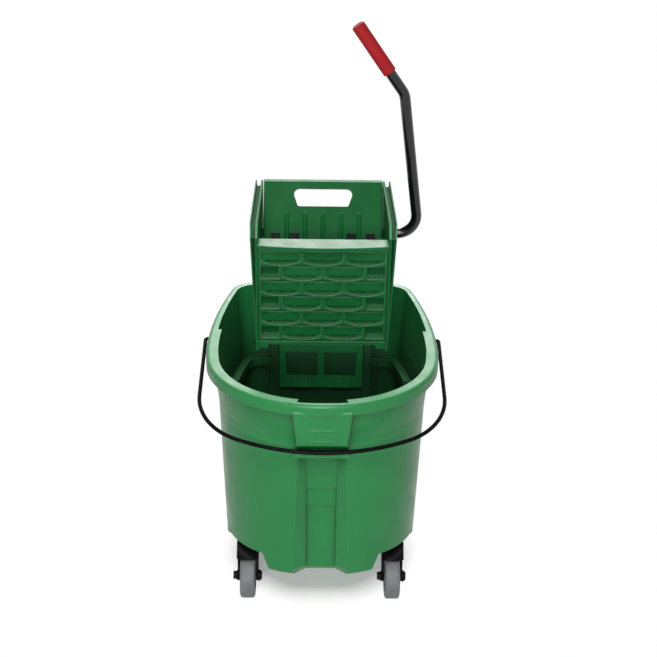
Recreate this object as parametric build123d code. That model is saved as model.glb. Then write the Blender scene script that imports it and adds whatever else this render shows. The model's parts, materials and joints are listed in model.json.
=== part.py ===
from build123d import *
import math
import os

# Frame: millimetres, +X right, -Y front, +Z up, floor at zero

# Rim of the tub
RIM_HALF_W = 193.5
RIM_FRONT_Y = -250.0
RIM_REAR_Y = 249.5
RIM_FRONT_Z = 405.0
RIM_REAR_Z = 442.0
RIM_SKIRT = 18.0
RIM_THICK = 4.5
RIM_ROUND = 6.0
RIM_FLAT = 5.0
RIM_FILL = 45.0
LIP_IN = 6.0
LIP_FRONT = 9.0
POUR_HALF_W = 44.0
POUR_SLOPE = 9.0

# Wall of the tub, given by how far each level lies inside the rim
TUB_WALL = 4.0
TUB_FLOOR_Z = 80.0
CREASE_DROP = 65.0
WALL_OVER = 28.0
TOP_IN = 4.5
CREASE_IN = 20.5
FLOOR_IN = 32.0
CREASE_FRONT_IN = 28.0
FRONT_FLARE = 42.0
FRONT_DRAFT = 24.0
CREASE_REAR_IN = 22.5
REAR_FLARE = 16.0
REAR_DRAFT = 14.0
CREASE_FLAT = 15.0
FLOOR_FLAT = 23.0
CORNER_R = 42.0
OVAL_Y = -20.0
SIDE_BLEND = 500.0
SIDE_BOW = 1040.0
BOTTOM_ROUND = 10.0

# Channel and pad on the front of the tub
CHANNEL_DROP = 99.0
CHANNEL_DEEP = 14.0
CHANNEL_STEP = 1.6
CHANNEL_STEPS = (36.0, 66.0, 99.0)
GROOVE_HALF = 24.5
CHANNEL_FLARE_TOP = 17.0
CHANNEL_FLARE_LOW = 24.0
CHANNEL_CHAMFER = 13.0
CHANNEL_HEEL = 12.0
PAD_TOP_HALF = 47.0
PAD_LOW_HALF = 40.0
PAD_DROP = 11.0
PAD_H = 65.0
PAD_BACK = 2.0
PAD_LEAN = 14.0
PAD_ROUND = 4.0
CATCH_HALF = 43.0
CATCH_H = 13.0

# Shelf and posts inside the tub
LEDGE_DROP = 136.0
LEDGE_W = 15.0
LEDGE_T = 16.0
LEDGE_LEN = 154.0
POST_IN = 81.0
POST_OUT = 94.0
POST_DEEP = 12.0
POST_FOOT = 10.0
POST_TOP = 22.0

# Bail
BAIL_WIRE = 3.2
BAIL_GAP = 1.6
BAIL_AHEAD = 17.4
BAIL_BOW = 330.0
BAIL_CORNER = 108.0
BAIL_BEND = 4.0
BAIL_PIVOT_Y = 12.0
BAIL_UNDER = 9.4
BAIL_DROP = 20.3
BAIL_SKIN = 1.5
BOSS_W = 18.0
BOSS_BACK = 3.2

# Casters
WHEEL_R = 38.0
WHEEL_W = 25.0
WHEEL_SHOULDER = 5.0
WHEEL_DISH = 4.0
WHEEL_RIM = 4.0
WHEEL_BOSS = 11.0
TREAD_DEEP = 7.0
CASTER_SIDE_IN = 71.5
CASTER_FRONT_IN = 144.0
CASTER_REAR_IN = 109.5
CASTER_TRAIL = 19.0
WELL_RISE = 32.0
WELL_REACH = 39.0
WELL_SLOPE = 12.5
WELL_BACK = 48.0
PLATE_R = 25.0
PLATE_T = 4.0
PLATE_SCREW_IN = 5.0
COLLAR_R = 15.0
SWIVEL_H = 7.0
KINGPIN_R = 7.0
KINGPIN_HEAD = 4.0
KINGPIN_HEAD_T = 5.0
CROWN_W = 36.6
CROWN_WALL = 4.0
CROWN_WEB = 6.0
HOOD_REACH = 38.0
HOOD_EDGE = 4.0
HOOD_CLEAR = 1.5
SWING_CLEAR = 1.2
FORK_GAP = 14.0
FORK_LEG = 3.5
LEG_FOOT = 9.0
AXLE_R = 5.0
BOLT_HEAD = 7.0
BOLT_HEAD_T = 5.5
WASHER_R = 8.5
WASHER_T = 2.0
NUT_R = 9.7
NUT_FLANGE = 3.0
NUT_T = 3.0

# Wringer: places
FRAME_IN = 44.5
HINGE_IN = 87.0
HINGE_DROP = 17.0
HOPPER_DEEP = 100.0
PANEL_RISE = 137.0
PRESS_LEAN = 23.6
MESH_ANGLE = 46.5

# Wringer: side panels
HOPPER_HALF_W = 109.5
SIDE_T = 4.0
SIDE_EDGE = 11.0
SIDE_GROOVE = 8.0
SIDE_LIP = 2.5
FLANGE_TOP = 9.5
SIDE_NOSE = 5.0
SIDE_CORNER = 14.0
KINK_Y = 12.0
KINK_RISE = 36.0
SIDE_RISE = 53.0
SIDE_FOOT = 16.5
SIDE_HEEL = 20.0
GEAR_COVER = 1.5
SHAFT_BOSS = 17.5
SHAFT_BOSS_T = 3.0

# Wringer: front panel
PANEL_H = 176.0
PANEL_T = 30.0
PANEL_LEAN = 7.0
PANEL_LEDGE = 6.0
LEDGE_OVER = 3.0
LEDGE_BOW = 10.0
LEDGE_ROOT = 4.0
EDGE_GROOVE = 7.0
BRICK_ROWS = 6
BRICK_ROW_H = 28.0
BRICK_W = 71.5
BRICK_RIB = 5.0
BRICK_WAVE = 3.2
BRICK_DEEP = 13.0
BRICK_CREST = 6.0
BRICK_ROUND = 5.5
HALF_BRICK_DEEP = 18.0
FLUTES = 9
FLUTE_STEP = 22.0
FLUTE_W = 12.0
FLUTE_DEEP = 8.0
FLUTE_END = 12.0

# Wringer: drip grid
GRID_T = 6.0
GRID_LUG = 12.0
GRID_LUG_W = 16.0
GRID_FRONT = 28.0
GRID_REAR = 6.0
GRID_SLOTS = 13
GRID_STEP = 15.0
GRID_SLOT = 9.0
GRID_SEAT = 1.5

# Wringer: rear frame
FRAME_T = 6.0
FRAME_RISE = 90.0
FRAME_DROP = 194.0
FRAME_HALF_W = 78.0
NECK_DROP = 14.0
WINDOW_TOP = 124.0
WINDOW_H = 46.0
WINDOW_IN = 6.0
WINDOW_OUT = 67.0
WINDOW_TAPER = 3.0
RAIL_H = 7.0
RAIL_T = 3.0
HUMP_H = 16.0
HUMP_IN = 12.0
HUMP_OUT = 58.0
HUMP_SLOPE = 8.0
HUMP_T = 6.0
SLOT_SIDE = 4.0
SLOT_FOOT = 19.0
EAR_W = 8.0
EAR_DEEP = 16.0
EAR_H = 78.0
HOOK_IN = 18.0
HOOK_T = 5.0
HOOK_LIP = 12.0
HOOK_RISE = 26.0
HOOK_SEAT = 0.3
HOOK_BACK = 0.6
REST_IN = 24.0
REST_OUT = 54.0
REST_RISE = 7.0
REST_H = 15.0

# Wringer: screws, hinge rod and shaft bushes
SCREW_R = 2.4
SCREW_HEAD = 4.6
SCREW_HEAD_T = 3.0
SCREW_LEN = 11.0
SCREW_DEEP = 24.5
HINGE_R = 5.0
HINGE_END = 5.0
CLIP_W = 4.0
CLIP_T = 2.0
BUSH_WALL = 3.0
BUSH_FLANGE = 3.0
BUSH_FLANGE_T = 3.0

# Press plate
PRESS_H = 242.0
PRESS_HALF_W = 106.0
PRESS_T = 8.0
PRESS_FRONT = 6.0
PRESS_FLANGE = 12.0
PRESS_FLANGE_T = 6.0
PRESS_EDGE_T = 4.0
PRESS_EDGE_FOOT = 60.0
PRESS_ROUND = 3.0
PRESS_CREST_H = 6.0
PRESS_CREST_DEEP = 9.0
HAND_TOP = 18.0
HAND_H = 32.0
HAND_HALF = 56.0
HAND_TAPER = 11.0
HAND_ROUND = 10.0
HAND_FOOT_ROUND = 4.0
BEADS = 5
BEAD_STEP = 32.0
BEAD_W = 10.0
BEAD_T = 3.0
BEAD_FOOT = 24.0
BEAD_TOP = 66.0
KNUCKLE_WALL = 5.0
KNUCKLE_W = 30.0
KNUCKLE_STEP = 88.0

# Gears
GEAR_MODULE = 4.0
GEAR_FLANK = 20.0
PINION_TEETH = 16
SECTOR_TEETH = 66
SECTOR_CUT_TEETH = 8
GEAR_W = 12.0
GEAR_X = 67.6
SECTOR_RING = 22.0
SECTOR_HUB = 40.0
SECTOR_BELOW = 32.0
SECTOR_TOP = 88.0
PRONG_Z = 135.0
PRONG_OFFSET = 17.2
PRONG_W = 16.0
PRONG_BACK = 0.5
FOOT_HALF = 27.0
FOOT_H = 26.0
FOOT_LAP = 10.0
FOOT_T = 6.0
PIN_R = 2.5
PIN_HALF = 20.0

# Lever
TUBE_R = 9.5
TUBE_WALL = 2.0
LEVER_LEAN = 8.0
LEVER_OUT = 61.7
LEVER_KNEE_IN = 35.6
LEVER_KNEE_Z = 262.3
LEVER_END_IN = 117.5
LEVER_END_Z = 378.0
LEVER_BEND = 34.0
SHAFT_END = 8.0
GRIP_R = 11.8
GRIP_LEN = 99.0
GRIP_END = 5.0
GRIP_ROUND = 3.0
CAP_WALL = 3.0
CAP_END = 3.0

# Clearances
RUN_FIT = 0.05
GAP = 0.4
BORE_GAP = 0.1
BACKLASH = 0.4

# Levels and places that follow from the sizes
TOP_HALF_W = RIM_HALF_W - TOP_IN
CREASE_HALF_W = RIM_HALF_W - CREASE_IN
FLOOR_HALF_W = RIM_HALF_W - FLOOR_IN
CREASE_FRONT_Y = RIM_FRONT_Y + CREASE_FRONT_IN
TOP_FRONT_Y = CREASE_FRONT_Y - FRONT_FLARE
FLOOR_FRONT_Y = CREASE_FRONT_Y + FRONT_DRAFT
CREASE_REAR_Y = RIM_REAR_Y - CREASE_REAR_IN
TOP_REAR_Y = CREASE_REAR_Y + REAR_FLARE
FLOOR_REAR_Y = CREASE_REAR_Y - REAR_DRAFT
CREASE_Z = RIM_FRONT_Z - CREASE_DROP
TOP_Z = RIM_REAR_Z + WALL_OVER
RIM_RUN = RIM_REAR_Y - RIM_FRONT_Y
RIM_TILT = math.degrees(math.atan2(RIM_REAR_Z - RIM_FRONT_Z, RIM_RUN))
RIM_MID_Z = RIM_FRONT_Z - RIM_FRONT_Y * math.tan(math.radians(RIM_TILT))
RIM_PLACE = Pos(0, 0, RIM_MID_Z) * Rot(RIM_TILT, 0, 0)
LEDGE_Z = RIM_REAR_Z - LEDGE_DROP
WELL_Z = TUB_FLOOR_Z + WELL_RISE
CASTER_X = RIM_HALF_W - CASTER_SIDE_IN
CASTER_FRONT_Y = RIM_FRONT_Y + CASTER_FRONT_IN
CASTER_REAR_Y = RIM_REAR_Y - CASTER_REAR_IN
CROWN_TOP = WELL_Z - PLATE_T - SWIVEL_H
HOOD_LOW = 2 * WHEEL_R + HOOD_CLEAR
BAIL_HALF_W = RIM_HALF_W + BAIL_WIRE + BAIL_GAP
BAIL_REACH = (BAIL_PIVOT_Y - CREASE_FRONT_Y + BAIL_AHEAD) / math.cos(math.radians(BAIL_DROP))
FRAME_FRONT_Y = RIM_REAR_Y - FRAME_IN
FRAME_REAR_Y = FRAME_FRONT_Y + FRAME_T
FRAME_TOP_Z = RIM_REAR_Z + FRAME_RISE
FRAME_LOW_Z = RIM_REAR_Z - FRAME_DROP
HINGE_Y = FRAME_FRONT_Y - HINGE_IN
HINGE_Z = RIM_REAR_Z - HINGE_DROP
PANEL_FRONT_Y = HINGE_Y - HOPPER_DEEP
PANEL_TOP_Z = RIM_REAR_Z + PANEL_RISE
PANEL_LOW_Z = PANEL_TOP_Z - PANEL_H
PANEL_LOW_Y = PANEL_FRONT_Y + PANEL_H * math.tan(math.radians(PANEL_LEAN))
PANEL_PLACE = Pos(0, PANEL_FRONT_Y, PANEL_TOP_Z) * Rot(PANEL_LEAN, 0, 0)
PRESS_PLACE = Pos(0, HINGE_Y, HINGE_Z) * Rot(-PRESS_LEAN, 0, 0)
GEAR_CENTRES = GEAR_MODULE * (PINION_TEETH + SECTOR_TEETH) / 2
SHAFT_Y = HINGE_Y + GEAR_CENTRES * math.cos(math.radians(MESH_ANGLE))
SHAFT_Z = HINGE_Z + GEAR_CENTRES * math.sin(math.radians(MESH_ANGLE))
PINION_TIP = GEAR_MODULE * (PINION_TEETH / 2 + 0.8)
LEVER_PLACE = Pos(0, SHAFT_Y, SHAFT_Z) * Rot(LEVER_LEAN, 0, 0)
SIDE_REAR_Y = SHAFT_Y + PINION_TIP + GEAR_COVER
WEB_OUT = HOPPER_HALF_W + SIDE_T
PANEL_HALF_W = HOPPER_HALF_W - GAP
GRID_Z = PANEL_LOW_Z - GRID_SEAT
GRID_FRONT_Y = PANEL_LOW_Y + 2 * GAP
GRID_REAR_Y = HINGE_Y - HINGE_R - KNUCKLE_WALL - 2
PRESS_BACK = PRESS_T - PRESS_FRONT
SHAFT_LEFT_X = -(WEB_OUT + SHAFT_END)
LEVER_X = WEB_OUT + LEVER_OUT

# Shift that puts the middle of the whole box over the origin
RIM_NOSE_Y = RIM_FRONT_Y * math.cos(math.radians(RIM_TILT)) + RIM_ROUND * math.sin(math.radians(RIM_TILT))
FRAME_SHIFT = -(SIDE_REAR_Y + RIM_NOSE_Y) / 2

CASTERS = {
    "fl": (-CASTER_X, CASTER_FRONT_Y),
    "fr": (CASTER_X, CASTER_FRONT_Y),
    "rl": (-CASTER_X, CASTER_REAR_Y),
    "rr": (CASTER_X, CASTER_REAR_Y),
}


def flat(points):
    """Flat face inside a closed row of points, facing up."""
    return make_face(Polyline(*points, close=True))


def block(x0, x1, y0, y1, z0, z1):
    """Box between two opposite corners."""
    middle = Pos((x0 + x1) / 2, (y0 + y1) / 2, (z0 + z1) / 2)
    return middle * Box(abs(x1 - x0), abs(y1 - y0), abs(z1 - z0))


def bar_x(radius, x0, x1, y, z):
    """Round bar along X."""
    return Pos((x0 + x1) / 2, y, z) * Rot(0, 90, 0) * Cylinder(radius, abs(x1 - x0))


def bar_z(radius, z0, z1, x, y):
    """Round bar along Z."""
    return Pos(x, y, (z0 + z1) / 2) * Cylinder(radius, z1 - z0)


def prism_x(points, x0, x1):
    """Prism along X from (y, z) points."""
    return extrude(Plane.YZ.offset(x0) * flat(points), x1 - x0)


def prism_y(points, y0, y1):
    """Prism along Y from (x, z) points."""
    return extrude(Plane.XZ.offset(-y1) * flat(points), y1 - y0)


def both_sides(solid):
    """The solid together with its mirror image across the middle plane."""
    return solid + mirror(solid, about=Plane.YZ)


def leaned(y, z):
    """Place in the upright (y, z) plane of a point of the leaned front panel."""
    turn = math.radians(PANEL_LEAN)
    away = PANEL_FRONT_Y + y * math.cos(turn) - z * math.sin(turn)
    return away, PANEL_TOP_Z + y * math.sin(turn) + z * math.cos(turn)


# Screws through the side panels: three in the front panel, one in the grid, two in the frame's ear
GRID_SCREW = (GRID_FRONT_Y + GRID_FRONT / 2, GRID_Z - GRID_LUG / 2)
EAR_SCREW_Y = FRAME_FRONT_Y - EAR_DEEP / 2
PANEL_SCREWS = [leaned(SCREW_DEEP, -PANEL_H * part) for part in (0.08, 0.5, 0.92)]
EAR_SCREWS = [(EAR_SCREW_Y, FRAME_TOP_Z - EAR_H * part) for part in (0.2, 0.8)]
SCREW_PLACES = PANEL_SCREWS + [GRID_SCREW] + EAR_SCREWS


# Tub outline and shell

def plan_face(half_w, front_y, rear_y, flat_half, inset=0.0):
    """Tub outline: rounded nose, bowed sides, rounded rear corners, moved inward by inset."""
    wide = half_w - inset
    front = front_y + inset
    rear = rear_y - inset
    corner = CORNER_R - inset
    blend = SIDE_BLEND - inset
    bow = SIDE_BOW - inset
    reach = OVAL_Y - front
    across = flat_half - wide + blend
    nose = (blend ** 2 - across ** 2 - reach ** 2) / (2 * (blend - reach))
    lead = math.degrees(math.asin((reach - nose) / (blend - nose)))
    chin = Line((0, front), (flat_half, front))
    cheek = CenterArc((flat_half, front + nose), nose, -90, 90 - lead)
    bend = CenterArc((wide - blend, OVAL_Y), blend, -lead, lead)
    tail = math.asin((rear - corner - OVAL_Y) / (bow - corner))
    side = CenterArc((wide - bow, OVAL_Y), bow, 0, math.degrees(tail))
    centre = (wide - bow + (bow - corner) * math.cos(tail), rear - corner)
    round_off = CenterArc(centre, corner, math.degrees(tail), 90 - math.degrees(tail))
    back = Line(round_off @ 1, (0, rear))
    half = [chin, cheek, bend, side, round_off, back]
    other = [mirror(edge, about=Plane.YZ) for edge in half]
    return make_face(half + other)


def tub_section(z):
    """Half width, front, rear and nose flat of the tub's outer wall at one height."""
    low = (FLOOR_HALF_W, FLOOR_FRONT_Y, FLOOR_REAR_Y, FLOOR_FLAT)
    mid = (CREASE_HALF_W, CREASE_FRONT_Y, CREASE_REAR_Y, CREASE_FLAT)
    top = (TOP_HALF_W, TOP_FRONT_Y, TOP_REAR_Y, RIM_FLAT)
    if z < CREASE_Z:
        part = (z - TUB_FLOOR_Z) / (CREASE_Z - TUB_FLOOR_Z)
        return [a + (b - a) * part for a, b in zip(low, mid)]
    part = (z - CREASE_Z) / (TOP_Z - CREASE_Z)
    return [a + (b - a) * part for a, b in zip(mid, top)]


def tub_volume(inset, floor_z):
    """Tapered tub volume with a rounded bottom edge."""
    faces = []
    for z in (floor_z, CREASE_Z, TOP_Z):
        faces.append(Pos(0, 0, z) * plan_face(*tub_section(z), inset))
    volume = loft(faces, ruled=True)
    low_edges = volume.edges().filter_by_position(Axis.Z, floor_z - 0.1, floor_z + 0.1)
    return fillet(low_edges, BOTTOM_ROUND - inset)


def rim_z(y):
    """Height of the rim's top face at one depth."""
    return RIM_MID_Z + y * math.tan(math.radians(RIM_TILT))


def rim_flange():
    """Rolled rim: top flange with a hanging skirt, solid at the nose."""
    outline = (RIM_HALF_W, RIM_FRONT_Y, RIM_REAR_Y, RIM_FLAT)
    solid = extrude(plan_face(*outline), -RIM_SKIRT)
    top_edges = solid.edges().filter_by_position(Axis.Z, -0.1, 0.1)
    solid = fillet(top_edges, RIM_ROUND)
    hollow = extrude(Pos(0, 0, -RIM_THICK) * plan_face(*outline, TUB_WALL), -RIM_SKIRT)
    fill_y = RIM_FRONT_Y + RIM_FILL
    hollow -= block(-RIM_HALF_W, RIM_HALF_W, 2 * RIM_FRONT_Y, fill_y, -2 * RIM_SKIRT, RIM_SKIRT)
    return RIM_PLACE * (solid - hollow)


def rim_lip():
    """Splash lip inside the front half of the rim, open at the pour notch."""
    half_w, front, rear, nose = tub_section(rim_z(OVAL_Y))
    front = tub_section(RIM_FRONT_Z)[1]
    outer = plan_face(half_w, front, rear, nose, TUB_WALL / 2)
    inner = plan_face(half_w - LIP_IN, front + LIP_FRONT, rear, nose, TUB_WALL)
    ring = extrude(outer, -RIM_THICK) - extrude(inner, -RIM_THICK)
    ends = BAIL_PIVOT_Y + BOSS_W
    ring -= block(-RIM_HALF_W, RIM_HALF_W, ends, 2 * RIM_REAR_Y, -2 * RIM_THICK, RIM_THICK)
    deep = 3 * LIP_FRONT
    back_half = POUR_HALF_W - POUR_SLOPE
    notch = [(-POUR_HALF_W, RIM_FRONT_Y), (POUR_HALF_W, RIM_FRONT_Y)]
    notch += [(back_half, RIM_FRONT_Y + deep), (-back_half, RIM_FRONT_Y + deep)]
    ring -= extrude(Pos(0, 0, -2 * RIM_THICK) * flat(notch), 4 * RIM_THICK)
    return RIM_PLACE * ring


def well(side, front, grow):
    """Raised corner space over one caster, grown by the wall for the inside."""
    top = WELL_Z + grow
    foot = TUB_FLOOR_Z - WELL_RISE
    inner = CASTER_X - WELL_REACH - grow
    points = [(inner - WELL_SLOPE, foot), (inner + WELL_SLOPE, top)]
    points += [(2 * RIM_HALF_W, top), (2 * RIM_HALF_W, foot)]
    points = [(side * x, z) for x, z in points]
    if front:
        return prism_y(points, 2 * RIM_FRONT_Y, CASTER_FRONT_Y + WELL_BACK + grow)
    return prism_y(points, CASTER_REAR_Y - WELL_BACK - grow, 2 * RIM_REAR_Y)


def front_y_at(z):
    """Depth of the tub's front face on the middle plane."""
    return tub_section(z)[1]


CHANNEL_TOP_Z = RIM_FRONT_Z - CHANNEL_DROP
CHANNEL_LOW_Z = TUB_FLOOR_Z - CHANNEL_DEEP


def channel_piece(low, high, grow):
    """One length of the front channel between two (z, depth) levels, following the tub's front."""
    faces = []
    for z, deep in (low, high):
        part = (CHANNEL_TOP_Z - z) / (CHANNEL_TOP_Z - CHANNEL_LOW_Z)
        flare = CHANNEL_FLARE_TOP + (CHANNEL_FLARE_LOW - CHANNEL_FLARE_TOP) * part
        y = front_y_at(z)
        ahead = CHANNEL_FLARE_TOP
        inner = GROOVE_HALF + grow
        outer = inner + flare * (ahead + deep + grow) / deep
        back = y + deep + grow
        points = [(-inner, back), (inner, back), (outer, y - ahead), (-outer, y - ahead)]
        faces.append(Pos(0, 0, z) * flat(points))
    return loft(faces, ruled=True)


def channel(grow):
    """Front channel with a floor that steps deeper downward, grown by the wall for the inside."""
    top = CHANNEL_TOP_Z + grow
    foot = TUB_FLOOR_Z + CHANNEL_HEEL
    heel = CHANNEL_DEEP + foot - CHANNEL_LOW_Z
    strip = channel_piece((foot, CHANNEL_DEEP), (top, CHANNEL_DEEP), grow)
    strip += channel_piece((CHANNEL_LOW_Z, heel), (foot, CHANNEL_DEEP), grow)
    half = GROOVE_HALF + grow
    for number, drop in enumerate(CHANNEL_STEPS):
        high = CHANNEL_TOP_Z - drop + grow
        deep = CHANNEL_DEEP + CHANNEL_STEP * (number + 1) + grow
        y0, y1 = front_y_at(CHANNEL_LOW_Z), front_y_at(high)
        points = [(y0, CHANNEL_LOW_Z), (y0 + deep, CHANNEL_LOW_Z), (y1 + deep, high), (y1, high)]
        strip += prism_x(points, -half, half)
    edge = GROOVE_HALF + CHANNEL_FLARE_TOP + grow
    wide = 2 * edge
    right = [(edge - CHANNEL_CHAMFER / 2, top), (edge, top - CHANNEL_CHAMFER)]
    right += [(wide, top - 3 * CHANNEL_CHAMFER), (wide, CHANNEL_LOW_Z)]
    crop = right + [(-x, z) for x, z in reversed(right)]
    return strip & prism_y(crop, 2 * RIM_FRONT_Y, 0)


BAIL_PIVOT_Z = rim_z(BAIL_PIVOT_Y) - BAIL_UNDER
BAIL_LOW_Y = BAIL_PIVOT_Y - BAIL_REACH * math.cos(math.radians(BAIL_DROP))
BAIL_LOW_Z = BAIL_PIVOT_Z - BAIL_REACH * math.sin(math.radians(BAIL_DROP))


def front_pad():
    """Plain raised pad under the rim, and the catch below it that the bail rests on."""
    top = RIM_FRONT_Z - PAD_DROP
    low = top - PAD_H
    face = RIM_FRONT_Y + PAD_BACK
    root = FLOOR_FRONT_Y
    side = [(face, top), (face + PAD_LEAN, low), (root, low), (root, top)]
    pad = prism_x(side, -PAD_TOP_HALF, PAD_TOP_HALF)
    outline = [(-PAD_TOP_HALF, top), (PAD_TOP_HALF, top), (PAD_LOW_HALF, low), (-PAD_LOW_HALF, low)]
    pad = pad & prism_y(outline, 2 * RIM_FRONT_Y, root)
    pad = fillet(pad.faces().sort_by(Axis.Y)[0].edges(), PAD_ROUND)
    seat = BAIL_LOW_Z - BAIL_WIRE - GAP
    nose = BAIL_LOW_Y + BAIL_WIRE
    points = [(nose, seat), (nose, seat - CATCH_H / 2), (front_y_at(CHANNEL_TOP_Z), CHANNEL_TOP_Z)]
    points += [(root, CHANNEL_TOP_Z), (root, seat)]
    return pad + prism_x(points, -CATCH_HALF, CATCH_HALF)


def bail_boss():
    """Solid block under the rim that takes one bent end of the bail."""
    top = rim_z(BAIL_PIVOT_Y - BOSS_W / 2) - 1
    y0 = BAIL_PIVOT_Y - BOSS_W / 2
    solid = block(CREASE_HALF_W, RIM_HALF_W - BOSS_BACK, y0, y0 + BOSS_W, top - RIM_SKIRT, top)
    return both_sides(solid)


def rear_ledge():
    """Shelf round the rear corners inside the tub."""
    section = tub_section(LEDGE_Z)
    low = LEDGE_Z - LEDGE_T
    ring = extrude(Pos(0, 0, low) * plan_face(*section, TUB_WALL / 2), LEDGE_T)
    ring -= extrude(Pos(0, 0, low - 1) * plan_face(*section, TUB_WALL / 2 + LEDGE_W), LEDGE_T + 2)
    front = RIM_REAR_Y - LEDGE_LEN
    ring -= block(-RIM_HALF_W, RIM_HALF_W, 2 * RIM_FRONT_Y, front, low - 2, LEDGE_Z + 2)
    ring -= block(2 - POST_OUT, POST_OUT - 2, 0, 2 * RIM_REAR_Y, low - 2, LEDGE_Z + 2)
    return ring


def guide_posts():
    """Two upright posts on the rear wall that hold the wringer from twisting."""
    z0 = TUB_FLOOR_Z + POST_FOOT
    z1 = RIM_REAR_Z - POST_TOP
    low = tub_section(z0)[2] - TUB_WALL / 2
    high = tub_section(z1)[2] - TUB_WALL / 2
    points = [(low - POST_DEEP, z0), (low, z0), (high, z1), (high - POST_DEEP, z1)]
    return both_sides(prism_x(points, POST_IN, POST_OUT))


def screw_circle(x, y):
    """Centres of the four screws of one caster plate."""
    out = PLATE_R - PLATE_SCREW_IN
    turns = [math.radians(angle) for angle in (45, 135, 225, 315)]
    return [(x + out * math.cos(turn), y + out * math.sin(turn)) for turn in turns]


def make_tub():
    """The whole moulded tub."""
    wide = 2 * RIM_HALF_W
    above = block(-wide, wide, 2 * RIM_FRONT_Y, 2 * RIM_REAR_Y, 0, RIM_RUN)
    outer = tub_volume(0, TUB_FLOOR_Z) - RIM_PLACE * above
    inside = tub_volume(TUB_WALL, TUB_FLOOR_Z + TUB_WALL)
    outer -= channel(0)
    inside -= channel(TUB_WALL)
    for side in (-1, 1):
        for front in (True, False):
            outer -= well(side, front, 0)
            inside -= well(side, front, TUB_WALL)
    tub = outer + rim_flange() + front_pad() + bail_boss()
    tub -= inside
    tub = tub + rim_lip() + rear_ledge() + guide_posts()
    hole = bar_x(BAIL_WIRE + RUN_FIT, bail_end_x() - GAP, 2 * RIM_HALF_W, BAIL_PIVOT_Y, BAIL_PIVOT_Z)
    tub -= both_sides(hole)
    for x, y in CASTERS.values():
        for sx, sy in screw_circle(x, y):
            tub -= bar_z(SCREW_R + RUN_FIT, WELL_Z - 1, WELL_Z + TUB_WALL - 0.8, sx, sy)
    return tub


# Bail

def bail_end_x():
    """Where the bail's turned end stops inside the tub's wall."""
    return tub_section(BAIL_PIVOT_Z)[0] - TUB_WALL + BAIL_SKIN


def bail_wire(edges):
    """Round wire along a row of joined edges, set in the bail's plane."""
    path = Wire([edge for item in edges for edge in item.edges()])
    section = Plane(path @ 0, z_dir=path % 0) * Circle(BAIL_WIRE)
    wire = sweep(section, path=path)
    return Pos(0, BAIL_PIVOT_Y, BAIL_PIVOT_Z) * Rot(180 + BAIL_DROP, 0, 0) * wire


def bail_pieces():
    """Bent wire in three lengths: an arm with its end turned into the rim on each side, and the bow."""
    bow_d = BAIL_REACH - BAIL_BOW
    corner_x = BAIL_HALF_W - BAIL_CORNER
    corner_d = bow_d + math.sqrt((BAIL_BOW - BAIL_CORNER) ** 2 - corner_x ** 2)
    swing = math.degrees(math.atan2(corner_d - bow_d, corner_x))
    bend = BAIL_BEND
    stub = Line((bail_end_x(), 0), (BAIL_HALF_W - bend, 0))
    elbow = CenterArc((BAIL_HALF_W - bend, bend), bend, -90, 90)
    straight = Line((BAIL_HALF_W, bend), (BAIL_HALF_W, corner_d))
    corner = CenterArc((corner_x, corner_d), BAIL_CORNER, 0, swing)
    middle = CenterArc((0, bow_d), BAIL_BOW, swing, 90 - swing)
    half = [corner, middle]
    other = [mirror(edge, about=Plane.YZ) for edge in half]
    arm = bail_wire([stub, elbow, straight])
    return arm, bail_wire(half + other)


# Casters

def caster_plate(x, y):
    """Round mounting plate with a bearing collar, under the tub's well."""
    low = WELL_Z - PLATE_T
    plate = bar_z(PLATE_R, low, WELL_Z, x, y)
    plate += bar_z(COLLAR_R, CROWN_TOP + GAP, low, x, y)
    plate -= bar_z(KINGPIN_R, CROWN_TOP - 1, low + PLATE_T / 2, x, y)
    for sx, sy in screw_circle(x, y):
        plate -= bar_z(SCREW_R + BORE_GAP, low - 1, WELL_Z + 1, sx, sy)
    return plate


def caster_kingpin(x, y):
    """Headed pin that the fork turns on."""
    web_low = CROWN_TOP - CROWN_WEB - GAP
    pin = bar_z(KINGPIN_R, web_low, WELL_Z - PLATE_T / 2, x, y)
    return pin + bar_z(KINGPIN_R + KINGPIN_HEAD, web_low - KINGPIN_HEAD_T, web_low, x, y)


def caster_fork(x, y):
    """Hooded crown with two legs reaching to the axle."""
    half = CROWN_W / 2
    axle_y = y - CASTER_TRAIL
    inner = half - CROWN_WALL
    hood = [(y + half, HOOD_LOW), (y + half, CROWN_TOP), (y - half, CROWN_TOP)]
    hood += [(y - HOOD_REACH, HOOD_LOW + HOOD_EDGE), (y - HOOD_REACH, HOOD_LOW)]
    reach = WELL_REACH - SWING_CLEAR
    swing = Cone(reach + WELL_SLOPE, reach - WELL_SLOPE, 2 * WELL_RISE)
    fork = prism_x(hood, x - half, x + half) & Pos(x, y, TUB_FLOOR_Z) * swing
    fork = fillet(fork.edges().filter_by(Axis.Z).group_by(Axis.Y)[-1], CROWN_WALL + 1)
    web = CROWN_TOP - CROWN_WEB
    room = [(y + inner, HOOD_LOW - 1), (y + inner, web), (y - inner, web)]
    room += [(y - HOOD_REACH + HOOD_EDGE, HOOD_LOW - 1)]
    fork -= prism_x(room, x - inner, x + inner)
    leg = [(y - CASTER_TRAIL - 2, HOOD_LOW + HOOD_EDGE), (y + LEG_FOOT, HOOD_LOW + HOOD_EDGE)]
    leg += [(axle_y + LEG_FOOT, WHEEL_R), (axle_y - LEG_FOOT, WHEEL_R)]
    for side in (-1, 1):
        ends = sorted((x + side * FORK_GAP, x + side * (FORK_GAP + FORK_LEG)))
        fork += prism_x(leg, *ends) + bar_x(LEG_FOOT, *ends, axle_y, WHEEL_R)
    fork -= bar_z(KINGPIN_R + RUN_FIT, HOOD_LOW, CROWN_TOP + 1, x, y)
    return fork - bar_x(AXLE_R + RUN_FIT, x - CROWN_W, x + CROWN_W, axle_y, WHEEL_R)


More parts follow.
